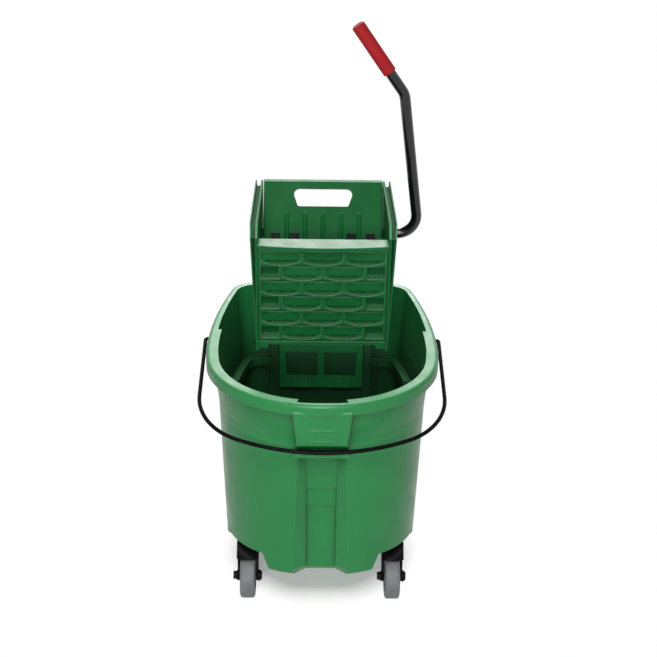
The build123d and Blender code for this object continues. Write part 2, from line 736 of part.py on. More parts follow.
def caster_hub(x, y):
    """Wheel core with a recess on both faces."""
    core_r = WHEEL_R - TREAD_DEEP
    half = WHEEL_W / 2
    hub = bar_x(core_r, x - half, x + half, y, WHEEL_R)
    for side in (-1, 1):
        ends = sorted((x + side * (half - WHEEL_DISH), x + side * (half + 1)))
        ring = bar_x(core_r - WHEEL_RIM, *ends, y, WHEEL_R)
        hub -= ring - bar_x(WHEEL_BOSS, ends[0] - 1, ends[1] + 1, y, WHEEL_R)
    return hub - bar_x(AXLE_R + RUN_FIT, x - WHEEL_W, x + WHEEL_W, y, WHEEL_R)


def caster_tread(x, y):
    """Soft tyre ring with rounded shoulders."""
    half = WHEEL_W / 2
    ring = bar_x(WHEEL_R, x - half, x + half, y, WHEEL_R)
    ring = fillet(ring.edges().filter_by(GeomType.CIRCLE), WHEEL_SHOULDER)
    return ring - bar_x(WHEEL_R - TREAD_DEEP, x - WHEEL_W, x + WHEEL_W, y, WHEEL_R)


def caster_axle(x, y):
    """Axle bolt with a hexagon head and a washer face on the left."""
    out = FORK_GAP + FORK_LEG
    face = x - out - WASHER_T
    bolt = bar_x(AXLE_R, x - out, x + out + NUT_FLANGE + NUT_T, y, WHEEL_R)
    bolt += bar_x(WASHER_R, face, x - out, y, WHEEL_R)
    head = Plane.YZ.offset(face - BOLT_HEAD_T) * Pos(y, WHEEL_R) * RegularPolygon(BOLT_HEAD, 6)
    return bolt + extrude(head, BOLT_HEAD_T)


def caster_nut(x, y):
    """Round flanged lock nut on the right end of the axle bolt."""
    start = x + FORK_GAP + FORK_LEG
    nut = bar_x(NUT_R, start, start + NUT_FLANGE, y, WHEEL_R)
    nut += bar_x(NUT_R - 2, start + NUT_FLANGE, start + NUT_FLANGE + NUT_T, y, WHEEL_R)
    nut = fillet(nut.edges().filter_by(GeomType.CIRCLE).group_by(Axis.X)[-1], NUT_T / 2)
    return nut - bar_x(AXLE_R, start - 1, start + NUT_R + NUT_T, y, WHEEL_R)


def caster_screws(x, y):
    """Pan-head screws that hold one plate to the tub."""
    screws = []
    low = WELL_Z - PLATE_T
    for sx, sy in screw_circle(x, y):
        head = bar_z(SCREW_HEAD - 1, low - PLATE_T / 2, low, sx, sy)
        screws.append(head + bar_z(SCREW_R, low, WELL_Z + TUB_WALL - 1, sx, sy))
    return screws


# Wringer

def side_outline():
    """Side panel outline as (y, z) points."""
    points = [(PANEL_LOW_Y - SIDE_NOSE, PANEL_LOW_Z - SIDE_FOOT)]
    points += [(PANEL_FRONT_Y - SIDE_NOSE, PANEL_TOP_Z + SIDE_CORNER)]
    points += [(PANEL_FRONT_Y + KINK_Y, PANEL_TOP_Z + KINK_RISE), (SIDE_REAR_Y, PANEL_TOP_Z + SIDE_RISE)]
    points += [(SIDE_REAR_Y, RIM_REAR_Z + NECK_DROP), (FRAME_REAR_Y + HOOK_LIP, RIM_REAR_Z - SIDE_T)]
    points += [(HINGE_Y + 2 * HINGE_R, HINGE_Z - SIDE_HEEL)]
    points += [(HINGE_Y - SIDE_HEEL, PANEL_LOW_Z - SIDE_FOOT)]
    return points


def make_side_right():
    """Right side panel: flat web, outward edge flange, bored for shaft, hinge rod and screws."""
    outline = flat(side_outline())
    reach = WEB_OUT + FLANGE_TOP
    side = extrude(Plane.YZ.offset(HOPPER_HALF_W) * outline, reach + FLANGE_TOP - HOPPER_HALF_W)
    side -= extrude(Plane.YZ.offset(WEB_OUT) * offset(outline, amount=-SIDE_EDGE), 4 * FLANGE_TOP)
    top_z = PANEL_TOP_Z + KINK_RISE
    low_z = PANEL_LOW_Z - SIDE_FOOT
    slope = FLANGE_TOP / (top_z - low_z)
    over = SIDE_RISE
    trim = [(WEB_OUT - over * slope, low_z - over), (reach + over * slope, top_z + over)]
    trim += [(reach + 4 * FLANGE_TOP, top_z + over), (reach + 4 * FLANGE_TOP, low_z - over)]
    side -= prism_y(trim, 2 * RIM_FRONT_Y, 2 * SIDE_REAR_Y)
    inside = [(x - SIDE_LIP, z) for x, z in trim[:2]] + [(0, top_z + over), (0, low_z - over)]
    band = outline - offset(outline, amount=-SIDE_GROOVE)
    groove = extrude(Plane.YZ.offset(WEB_OUT) * band, 4 * FLANGE_TOP)
    side -= groove & prism_y(inside, 2 * RIM_FRONT_Y, 2 * SIDE_REAR_Y)
    side += extrude(Plane.YZ.offset(HOPPER_HALF_W) * outline, SIDE_T)
    side += bar_x(SHAFT_BOSS, HOPPER_HALF_W, WEB_OUT + SHAFT_BOSS_T, SHAFT_Y, SHAFT_Z)
    ends = (HOPPER_HALF_W - 1, reach + FLANGE_TOP)
    side -= bar_x(TUBE_R + BUSH_WALL, *ends, SHAFT_Y, SHAFT_Z)
    side -= bar_x(SHAFT_BOSS + 1, WEB_OUT + SHAFT_BOSS_T, ends[1], SHAFT_Y, SHAFT_Z)
    side -= bar_x(HINGE_R + BORE_GAP, *ends, HINGE_Y, HINGE_Z)
    side -= bar_x(HINGE_R + CLIP_W + 1, WEB_OUT, ends[1], HINGE_Y, HINGE_Z)
    for y, z in SCREW_PLACES:
        side -= bar_x(SCREW_R + 2 * BORE_GAP, *ends, y, z)
        side -= bar_x(SCREW_HEAD + GAP, WEB_OUT, ends[1], y, z)
    low, high = PANEL_TOP_Z - PANEL_LEDGE - 2 * GAP, PANEL_TOP_Z + 3 * GAP
    end = PANEL_HALF_W + LEDGE_OVER + GAP
    rear = leaned(LEDGE_ROOT, -PANEL_LEDGE)[0] + GAP
    return side - block(HOPPER_HALF_W - 1, end, 2 * RIM_FRONT_Y, rear, low, high)


def brick_face(x0, x1, top, low, lens):
    """Outline of one pocket between two wavy ribs."""
    wave = BRICK_WAVE if lens else 0
    middle = (x0 + x1) / 2
    upper = ThreePointArc((x0, top - wave), (middle, top + wave + 0.01), (x1, top - wave))
    lower = ThreePointArc((x0, low + wave), (middle, low - wave - 0.01), (x1, low + wave))
    return make_face([upper, Line(upper @ 1, lower @ 1), lower, Line(lower @ 0, upper @ 0)])


def pocket_cut(face, deep):
    """Straight pocket sunk from the panel's front face."""
    return extrude(Plane.XZ * face, -deep) + extrude(Plane.XZ * face, 1)


def brick_pockets():
    """All pockets of the front panel, staggered row by row, with pillow-shaped floors."""
    pockets = []
    first = -PANEL_LEDGE - 1
    half = (BRICK_W - BRICK_RIB) / 2
    for row in range(BRICK_ROWS):
        top = first - row * BRICK_ROW_H - BRICK_RIB / 2
        low = first - (row + 1) * BRICK_ROW_H + BRICK_RIB / 2
        pillow = block(-HOPPER_HALF_W, HOPPER_HALF_W, BRICK_CREST, BRICK_CREST + PANEL_T, low, top)
        pillow = fillet(pillow.edges().filter_by(Axis.X).group_by(Axis.Y)[0], BRICK_ROUND)
        for place in (-1, 0, 1) if row % 2 == 0 else (-0.5, 0.5):
            x = place * BRICK_W
            pockets.append(pocket_cut(brick_face(x - half, x + half, top, low, True), BRICK_DEEP) - pillow)
        if row % 2:
            ends = (BRICK_W + BRICK_RIB / 2, 1.5 * BRICK_W - BRICK_RIB / 2)
            cut = pocket_cut(brick_face(*ends, top, low, False), HALF_BRICK_DEEP)
            pockets += [cut, mirror(cut, about=Plane.YZ)]
    return pockets


def make_front_panel():
    """Front panel: pocketed outer face, bowed top ledge, fluted inner face."""
    half = PANEL_HALF_W
    panel = block(-half, half, 0, PANEL_T, -PANEL_H, 0)
    panel -= brick_pockets()
    groove = block(1.5 * BRICK_W, half + 1, -1, EDGE_GROOVE, -PANEL_H - 1, -PANEL_LEDGE)
    panel -= both_sides(groove)
    wide = half + LEDGE_OVER
    bow = ThreePointArc((-wide, 0), (0, -LEDGE_BOW), (wide, 0))
    sides = [Line((wide, 0), (wide, LEDGE_ROOT)), Line((-wide, LEDGE_ROOT), (-wide, 0))]
    ledge = make_face([bow, sides[0], Line((wide, LEDGE_ROOT), (-wide, LEDGE_ROOT)), sides[1]])
    panel += extrude(Pos(0, 0, -PANEL_LEDGE) * ledge, PANEL_LEDGE)
    for number in range(FLUTES):
        x = (number - (FLUTES - 1) / 2) * FLUTE_STEP
        sides = (x - FLUTE_W / 2, x + FLUTE_W / 2)
        panel -= block(*sides, PANEL_T - FLUTE_DEEP, PANEL_T + 1, FLUTE_END - PANEL_H, -FLUTE_END)
    panel = PANEL_PLACE * panel
    for y, z in PANEL_SCREWS:
        panel -= both_sides(bar_x(SCREW_R + BORE_GAP, WEB_OUT - SCREW_LEN - 2 * GAP - SIDE_T, half + 1, y, z))
    return panel


def make_drip_grid():
    """Slotted floor of the hopper, between front panel and hinge, with a lug at each end."""
    half = PANEL_HALF_W
    lug_y = GRID_FRONT_Y + GRID_FRONT
    grid = block(-half, half, GRID_FRONT_Y, GRID_REAR_Y, GRID_Z - GRID_T, GRID_Z)
    for number in range(GRID_SLOTS):
        x = (number - (GRID_SLOTS - 1) / 2) * GRID_STEP
        sides = (x - GRID_SLOT / 2, x + GRID_SLOT / 2)
        grid -= block(*sides, lug_y, GRID_REAR_Y - GRID_REAR, GRID_Z - 2 * GRID_T, GRID_Z + 1)
    lug = block(half - GRID_LUG_W, half, GRID_FRONT_Y, lug_y, GRID_Z - GRID_LUG, GRID_Z)
    grid += both_sides(lug)
    start = WEB_OUT - SCREW_LEN - 2 * GAP - SIDE_T
    return grid - both_sides(bar_x(SCREW_R + BORE_GAP, start, half + 1, *GRID_SCREW))


def make_rear_frame():
    """Upright frame on the tub's rear wall: two windows, sector slots, ears and rim hooks."""
    y0, y1 = FRAME_FRONT_Y, FRAME_REAR_Y
    neck = RIM_REAR_Z - NECK_DROP
    half = PANEL_HALF_W
    frame = block(-FRAME_HALF_W, FRAME_HALF_W, y0, y1, FRAME_LOW_Z, neck + 1)
    frame += block(-half, half, y0, y1, neck, FRAME_TOP_Z)
    top = RIM_REAR_Z - WINDOW_TOP
    low = top - WINDOW_H
    window = [(WINDOW_IN, top), (WINDOW_OUT, top), (WINDOW_OUT - WINDOW_TAPER, low), (WINDOW_IN, low)]
    frame -= both_sides(prism_y(window, y0 - FRAME_T, y1 + FRAME_T))
    foot = FRAME_LOW_Z + 2
    hump = [(HUMP_IN, foot), (HUMP_IN + HUMP_SLOPE, foot + HUMP_H)]
    hump += [(HUMP_OUT - HUMP_SLOPE, foot + HUMP_H), (HUMP_OUT, foot)]
    frame += both_sides(prism_y(hump, y0 - HUMP_T, y0))
    frame += block(-FRAME_HALF_W, FRAME_HALF_W, y0 - RAIL_T, y0, top + 2, top + 2 + RAIL_H)
    slot_in = GEAR_X - GEAR_W / 2 - SLOT_SIDE
    slot_out = GEAR_X + GEAR_W / 2 + SLOT_SIDE
    slot = block(slot_in, slot_out, y0 - FRAME_T, y1 + FRAME_T, neck + SLOT_FOOT, FRAME_TOP_Z + 1)
    frame -= both_sides(slot)
    frame += both_sides(block(half - EAR_W, half, y0 - EAR_DEEP, y0, FRAME_TOP_Z - EAR_H, FRAME_TOP_Z))
    frame += both_sides(prism_x(hook_outline(), HOOK_IN, slot_in - 2))
    rest_z = FRAME_LOW_Z + REST_RISE
    wall = tub_section(rest_z)[2] - TUB_WALL - HOOK_BACK
    frame += both_sides(block(REST_IN, REST_OUT, y1, wall, rest_z, rest_z + REST_H))
    for y, z in EAR_SCREWS:
        frame -= both_sides(bar_x(SCREW_R + BORE_GAP, half - EAR_W - 1, half + 1, y, z))
    return frame


def hook_outline():
    """Hook over the rear rim, following the rim's slope."""
    y1 = FRAME_REAR_Y
    back = RIM_REAR_Y + HOOK_BACK
    seat = rim_z(back) + HOOK_SEAT
    points = [(y1, rim_z(y1) + HOOK_SEAT), (back, seat), (back, seat - HOOK_LIP)]
    points += [(back + HOOK_T, seat - HOOK_LIP), (back + HOOK_T, seat + HOOK_T)]
    points += [(y1, rim_z(y1) + HOOK_RISE)]
    return points


def wringer_screws():
    """Pan-head screws through both side panels."""
    screws = []
    for y, z in SCREW_PLACES:
        screw = bar_x(SCREW_R, WEB_OUT - SCREW_LEN, WEB_OUT, y, z)
        screw += bar_x(SCREW_HEAD, WEB_OUT, WEB_OUT + SCREW_HEAD_T, y, z)
        screws += [screw, mirror(screw, about=Plane.YZ)]
    return screws


def make_hinge_rod():
    """Steel rod that the press plate swings on."""
    end = WEB_OUT + HINGE_END
    return bar_x(HINGE_R, -end, end, HINGE_Y, HINGE_Z)


def hinge_clips():
    """Push-on rings that keep the hinge rod in the side panels."""
    ring = bar_x(HINGE_R + CLIP_W, WEB_OUT, WEB_OUT + CLIP_T, HINGE_Y, HINGE_Z)
    ring -= bar_x(HINGE_R, WEB_OUT - 1, WEB_OUT + CLIP_T + 1, HINGE_Y, HINGE_Z)
    return [ring, mirror(ring, about=Plane.YZ)]


def shaft_bushes():
    """Flanged bearings for the cross shaft in both side panels."""
    face = WEB_OUT + SHAFT_BOSS_T
    bush = bar_x(TUBE_R + BUSH_WALL, HOPPER_HALF_W, face, SHAFT_Y, SHAFT_Z)
    bush += bar_x(TUBE_R + BUSH_WALL + BUSH_FLANGE, face, face + BUSH_FLANGE_T, SHAFT_Y, SHAFT_Z)
    bush -= bar_x(TUBE_R + RUN_FIT, HOPPER_HALF_W - 1, face + BUSH_FLANGE_T + 1, SHAFT_Y, SHAFT_Z)
    return [bush, mirror(bush, about=Plane.YZ)]


# Press plate, built upright about the hinge axis and then leaned back

def make_press_plate():
    """Press plate with hand hole, beads, top flange, prong windows and hinge knuckles."""
    front, back = -PRESS_FRONT, PRESS_BACK
    half = PRESS_HALF_W
    plate = block(-half, half, front, back, 2 * PRESS_BACK, PRESS_H)
    plate += block(-half, half, front, back + PRESS_FLANGE, PRESS_H - PRESS_FLANGE_T, PRESS_H)
    edge = block(half - PRESS_EDGE_T, half, front, back + PRESS_FLANGE, PRESS_EDGE_FOOT, PRESS_H)
    plate += both_sides(edge)
    rise = PRESS_CREST_H / PRESS_CREST_DEEP
    crest = [(front - 1, PRESS_H - PRESS_CREST_H - rise), (front + PRESS_CREST_DEEP, PRESS_H)]
    crest += [(front + PRESS_CREST_DEEP, PRESS_H + 1), (front - 1, PRESS_H + 1)]
    plate -= prism_x(crest, -2 * half, 2 * half)
    rounded = plate.edges().filter_by(Axis.Z).group_by(Axis.Y)[0]
    rounded += plate.edges().filter_by(Axis.X).group_by(Axis.Y)[0].sort_by(Axis.Z)[-1:]
    plate = fillet(rounded, PRESS_ROUND)
    top = PRESS_H - HAND_TOP
    low = top - HAND_H
    foot = HAND_HALF - HAND_TAPER
    hole = flat([(-HAND_HALF, top), (HAND_HALF, top), (foot, low), (-foot, low)])
    hole = fillet(hole.vertices().group_by(Axis.Y)[-1], HAND_ROUND)
    hole = fillet(hole.vertices().group_by(Axis.Y)[0], HAND_FOOT_ROUND)
    plate -= extrude(Plane.XZ * hole, 2 * PRESS_FLANGE, both=True)
    bead_top = PRESS_H - BEAD_TOP
    bead_r = (BEAD_W ** 2 / 4 + BEAD_T ** 2) / (2 * BEAD_T)
    deep = front - BEAD_T + bead_r
    for number in range(BEADS):
        x = (number - (BEADS - 1) / 2) * BEAD_STEP
        bead = bar_z(bead_r, BEAD_FOOT, bead_top, x, deep) + Pos(x, deep, bead_top) * Sphere(bead_r)
        plate += bead & block(x - BEAD_W, x + BEAD_W, front - BEAD_W, front + 1, 0, PRESS_H)
    size = PRONG_W / 2 + GAP
    for x in (GEAR_X - PRONG_OFFSET, GEAR_X + PRONG_OFFSET):
        cut = block(x - size, x + size, front - BEAD_T - 1, back + 1, PRONG_Z - size, PRONG_Z + size)
        plate -= both_sides(cut)
    for x in (-KNUCKLE_STEP, 0, KNUCKLE_STEP):
        ends = (x - KNUCKLE_W / 2, x + KNUCKLE_W / 2)
        plate += bar_x(HINGE_R + KNUCKLE_WALL, *ends, 0, 0) + block(*ends, front, back, 0, PRESS_FRONT)
    plate -= bar_x(HINGE_R + RUN_FIT, -2 * half, 2 * half, 0, 0)
    return PRESS_PLACE * plate


def gear_tooth(teeth):
    """One involute tooth pointing along +X, thinned for backlash."""
    pitch_r = GEAR_MODULE * teeth / 2
    flank = math.radians(GEAR_FLANK)
    base_r = pitch_r * math.cos(flank)
    tip_r = pitch_r + 0.8 * GEAR_MODULE
    root_r = pitch_r - 1.1 * GEAR_MODULE
    start_r = max(base_r, root_r)
    spread = math.pi / (2 * teeth) - BACKLASH / (2 * pitch_r) + math.tan(flank) - flank
    upper = []
    for step in range(5):
        radius = start_r + (tip_r - start_r) * step / 4
        press = math.acos(base_r / radius)
        angle = spread - (math.tan(press) - press)
        upper.append((radius * math.cos(angle), radius * math.sin(angle)))
    lower = [(x, -y) for x, y in upper]
    foot = (root_r - GEAR_MODULE / 2, upper[0][1])
    edges = [Spline(*upper), ThreePointArc(upper[-1], (tip_r, 0), lower[-1]), Spline(*reversed(lower))]
    edges += [Line(lower[0], (foot[0], -foot[1])), Line((foot[0], -foot[1]), foot), Line(foot, upper[0])]
    return make_face(edges)


def pinion(x):
    """Toothed wheel on the cross shaft, one tooth aimed at the hinge."""
    root_r = GEAR_MODULE * PINION_TEETH / 2 - 1.1 * GEAR_MODULE
    face = Circle(root_r)
    for number in range(PINION_TEETH):
        face += Rot(0, 0, MESH_ANGLE + 180 + number * 360 / PINION_TEETH) * gear_tooth(PINION_TEETH)
    face -= Circle(TUBE_R)
    solid = extrude(Plane.YZ.offset(x - GEAR_W / 2) * face, GEAR_W)
    return Pos(0, SHAFT_Y, SHAFT_Z) * solid - pin_place(x)


def pin_place(x):
    """Cross pin through pinion and tube."""
    return LEVER_PLACE * bar_z(PIN_R, -PIN_HALF, PIN_HALF, x, 0)


def pie(radius, start, end):
    """Slice of a disc between two angles."""
    reach = radius * 2
    points = [(0, 0)]
    for angle in (start, (start + end) / 2, end):
        turn = math.radians(angle)
        points.append((reach * math.cos(turn), reach * math.sin(turn)))
    return Circle(radius) & flat(points)


def sector(side):
    """Toothed sector with a foot and two prongs that sit in the press plate's windows."""
    x = side * GEAR_X
    root_r = GEAR_MODULE * SECTOR_TEETH / 2 - 1.1 * GEAR_MODULE
    aim = MESH_ANGLE + PRESS_LEAN
    low = aim - SECTOR_BELOW
    step = 360 / SECTOR_TEETH
    fan = pie(root_r, low, SECTOR_TOP) - pie(root_r - SECTOR_RING, low + step, SECTOR_TOP - 2.5 * step)
    fan += pie(SECTOR_HUB, low, SECTOR_TOP)
    for number in range(SECTOR_CUT_TEETH):
        turn = aim + (number - SECTOR_CUT_TEETH + 2.5) * step
        fan += Rot(0, 0, turn) * gear_tooth(SECTOR_TEETH)
    fan -= Pos(PRESS_BACK - root_r, 0) * Rectangle(2 * root_r, 4 * root_r)
    fan -= Circle(HINGE_R + KNUCKLE_WALL + 1)
    solid = extrude(Plane.YZ.offset(x - GEAR_W / 2) * fan, GEAR_W)
    foot = (root_r - FOOT_LAP, PRONG_Z + FOOT_H / 2)
    solid += block(x - FOOT_HALF, x + FOOT_HALF, PRESS_BACK, PRESS_BACK + FOOT_T, *foot)
    size = PRONG_W / 2
    for across in (-PRONG_OFFSET, PRONG_OFFSET):
        ends = (x + across - size, x + across + size)
        solid += block(*ends, PRONG_BACK - PRESS_FRONT, PRESS_BACK + 1, PRONG_Z - size, PRONG_Z + size)
    return PRESS_PLACE * solid


# Lever, built upright about the shaft axis and then leaned

def lever_path():
    """Centre line of the bent tube as (x, height) points."""
    knee = (LEVER_X - LEVER_KNEE_IN, LEVER_KNEE_Z)
    end = (LEVER_X - LEVER_END_IN, LEVER_END_Z)
    return FilletPolyline((SHAFT_LEFT_X, 0), (LEVER_X, 0), knee, end, radius=LEVER_BEND)


def make_lever_tube():
    """Cross shaft and handle, one bent tube."""
    path = Plane.XZ * lever_path()
    place = Plane(path @ 0, z_dir=path % 0)
    tube = sweep(place * Circle(TUBE_R), path=path)
    tube -= sweep(place * Circle(TUBE_R - TUBE_WALL), path=path)
    return LEVER_PLACE * tube - pin_place(GEAR_X) - pin_place(-GEAR_X)


def make_grip():
    """Moulded sleeve with a closed round end."""
    knee = Vector(LEVER_X - LEVER_KNEE_IN, 0, LEVER_KNEE_Z)
    end = Vector(LEVER_X - LEVER_END_IN, 0, LEVER_END_Z)
    along = (end - knee).normalized()
    place = Plane(end - along * (GRIP_LEN - GRIP_END), z_dir=along)
    body = extrude(place * Circle(GRIP_R), GRIP_LEN)
    body = fillet(body.edges().filter_by(GeomType.CIRCLE).sort_by(Axis.Z)[-1], GRIP_ROUND)
    body -= extrude(place * Circle(TUBE_R), GRIP_LEN - GRIP_END)
    return LEVER_PLACE * body


def make_end_cap():
    """Cap that closes the left end of the cross shaft."""
    x0 = -(WEB_OUT + SHAFT_BOSS_T + BUSH_FLANGE_T + GAP)
    cap = bar_x(TUBE_R + CAP_WALL, SHAFT_LEFT_X - CAP_END, x0, SHAFT_Y, SHAFT_Z)
    return cap - bar_x(TUBE_R, SHAFT_LEFT_X, x0 + 1, SHAFT_Y, SHAFT_Z)


def all_parts():
    """Every node of the assembly by name."""
    right = make_side_right()
    bail_arm, bail_bow = bail_pieces()
    parts = {
        "tub": make_tub(),
        "bail_arm_right": bail_arm,
        "bail_arm_left": mirror(bail_arm, about=Plane.YZ),
        "bail_bow": bail_bow,
        "side_right": right,
        "side_left": mirror(right, about=Plane.YZ),
        "front_panel": make_front_panel(),
        "drip_grid": make_drip_grid(),
        "rear_frame": make_rear_frame(),
        "wringer_screws": Compound(wringer_screws()),
        "hinge_rod": make_hinge_rod(),
        "hinge_clips": Compound(hinge_clips()),
        "shaft_bushes": Compound(shaft_bushes()),
        "press_plate": make_press_plate(),
        "sector_left": sector(-1),
        "sector_right": sector(1),
        "lever_tube": make_lever_tube(),
        "pinion_left": pinion(-GEAR_X),
        "pinion_right": pinion(GEAR_X),
        "pinion_pins": Compound([pin_place(-GEAR_X), pin_place(GEAR_X)]),
        "lever_grip": make_grip(),
        "shaft_cap": make_end_cap(),
    }
    screws = []
    for name, (x, y) in CASTERS.items():
        axle_y = y - CASTER_TRAIL
        parts["caster_plate_" + name] = caster_plate(x, y)
        parts["caster_kingpin_" + name] = caster_kingpin(x, y)
        parts["caster_fork_" + name] = caster_fork(x, y)
        parts["caster_hub_" + name] = caster_hub(x, axle_y)
        parts["caster_tread_" + name] = caster_tread(x, axle_y)
        parts["caster_axle_" + name] = caster_axle(x, axle_y)
        parts["caster_nut_" + name] = caster_nut(x, axle_y)
        screws += caster_screws(x, y)
    parts["caster_screws"] = Compound(screws)
    return parts


os.makedirs("parts", exist_ok=True)
for node, shape in all_parts().items():
    export_step(Pos(0, FRAME_SHIFT, 0) * shape, "parts/" + node + ".step")
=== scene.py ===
"""Looks of a wheeled mop bucket with a side-press wringer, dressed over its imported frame.

The frame gives every rigid piece at its place. This script rounds the edges of those pieces,
gives each one its finish, adds small moulded and turned details, and sets a plain studio.
Lengths are in metres, and MM turns millimetres into them.
"""

from __future__ import annotations

import json
import logging
import math
from dataclasses import dataclass
from enum import Enum
from functools import cached_property

import bmesh
import bpy
from mathutils import Matrix, Vector

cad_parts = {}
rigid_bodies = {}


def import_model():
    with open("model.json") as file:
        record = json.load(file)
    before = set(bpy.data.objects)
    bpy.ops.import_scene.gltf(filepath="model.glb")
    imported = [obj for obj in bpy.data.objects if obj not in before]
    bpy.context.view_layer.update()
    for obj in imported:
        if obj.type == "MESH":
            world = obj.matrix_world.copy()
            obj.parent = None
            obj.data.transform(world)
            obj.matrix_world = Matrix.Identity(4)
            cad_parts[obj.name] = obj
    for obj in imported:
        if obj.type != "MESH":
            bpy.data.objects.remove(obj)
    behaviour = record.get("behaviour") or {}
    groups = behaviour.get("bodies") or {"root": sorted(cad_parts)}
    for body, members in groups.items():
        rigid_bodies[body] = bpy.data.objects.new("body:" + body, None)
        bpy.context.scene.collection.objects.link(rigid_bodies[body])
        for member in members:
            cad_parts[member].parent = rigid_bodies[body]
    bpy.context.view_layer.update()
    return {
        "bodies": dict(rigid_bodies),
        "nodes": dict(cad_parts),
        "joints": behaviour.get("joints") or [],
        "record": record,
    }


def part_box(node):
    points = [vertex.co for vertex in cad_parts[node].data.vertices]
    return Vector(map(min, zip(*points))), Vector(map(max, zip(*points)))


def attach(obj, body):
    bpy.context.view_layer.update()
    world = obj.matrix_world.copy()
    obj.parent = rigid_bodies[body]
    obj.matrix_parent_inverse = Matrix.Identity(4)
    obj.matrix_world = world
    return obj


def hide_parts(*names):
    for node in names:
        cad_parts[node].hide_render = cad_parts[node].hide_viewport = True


LOG = logging.getLogger("mop_bucket")
MM = 0.001
WELD = 0.001 * MM
SHARP = math.radians(35)
QUARTER = math.pi / 2

Colour = tuple[float, float, float]
Point = tuple[float, float, float]
Socket = bpy.types.NodeSocket

WHITE: Colour = (1.0, 1.0, 1.0)
CORNERS = ("fl", "fr", "rl", "rr")

# Mouldings that get no rounding modifiers: their shape or their finish rounds the edges.
OWN_ROUNDS = ("tub", "front_panel", "press_plate", "side_left", "side_right", "rear_frame", "drip_grid",
              "lever_grip")


class Slot(Enum):
    """Finishes of the bucket, by the name that the record gives them."""

    GREEN = "green_shell"
    LEVER = "black_steel"
    NYLON = "black_nylon"
    GRIP = "red_grip"
    ZINC = "zinc_steel"
    CASTER = "caster_steel"
    CORE = "wheel_core"
    TREAD = "grey_tread"


class Reckoning(Enum):
    """Ways to work out a value, each with its node and the node's operation."""

    LARGER = ("ShaderNodeMath", "MAXIMUM")
    PRODUCT = ("ShaderNodeMath", "MULTIPLY")
    AGREEMENT = ("ShaderNodeVectorMath", "DOT_PRODUCT")
    LENGTH = ("ShaderNodeVectorMath", "LENGTH")


class Blend(Enum):
    """Kinds of blend, each with its data type and the places of its two inputs and its output."""

    VALUE = ("FLOAT", 2, 3, 0)
    COLOUR = ("RGBA", 6, 7, 2)


@dataclass(frozen=True)
class Clouds:
    """Cloudy pattern: rough width of a cloud, octaves, and the part of its range that is used."""

    size: float
    octaves: float
    low: float = 0.3
    high: float = 0.7
    stretch: Point = (1.0, 1.0, 1.0)


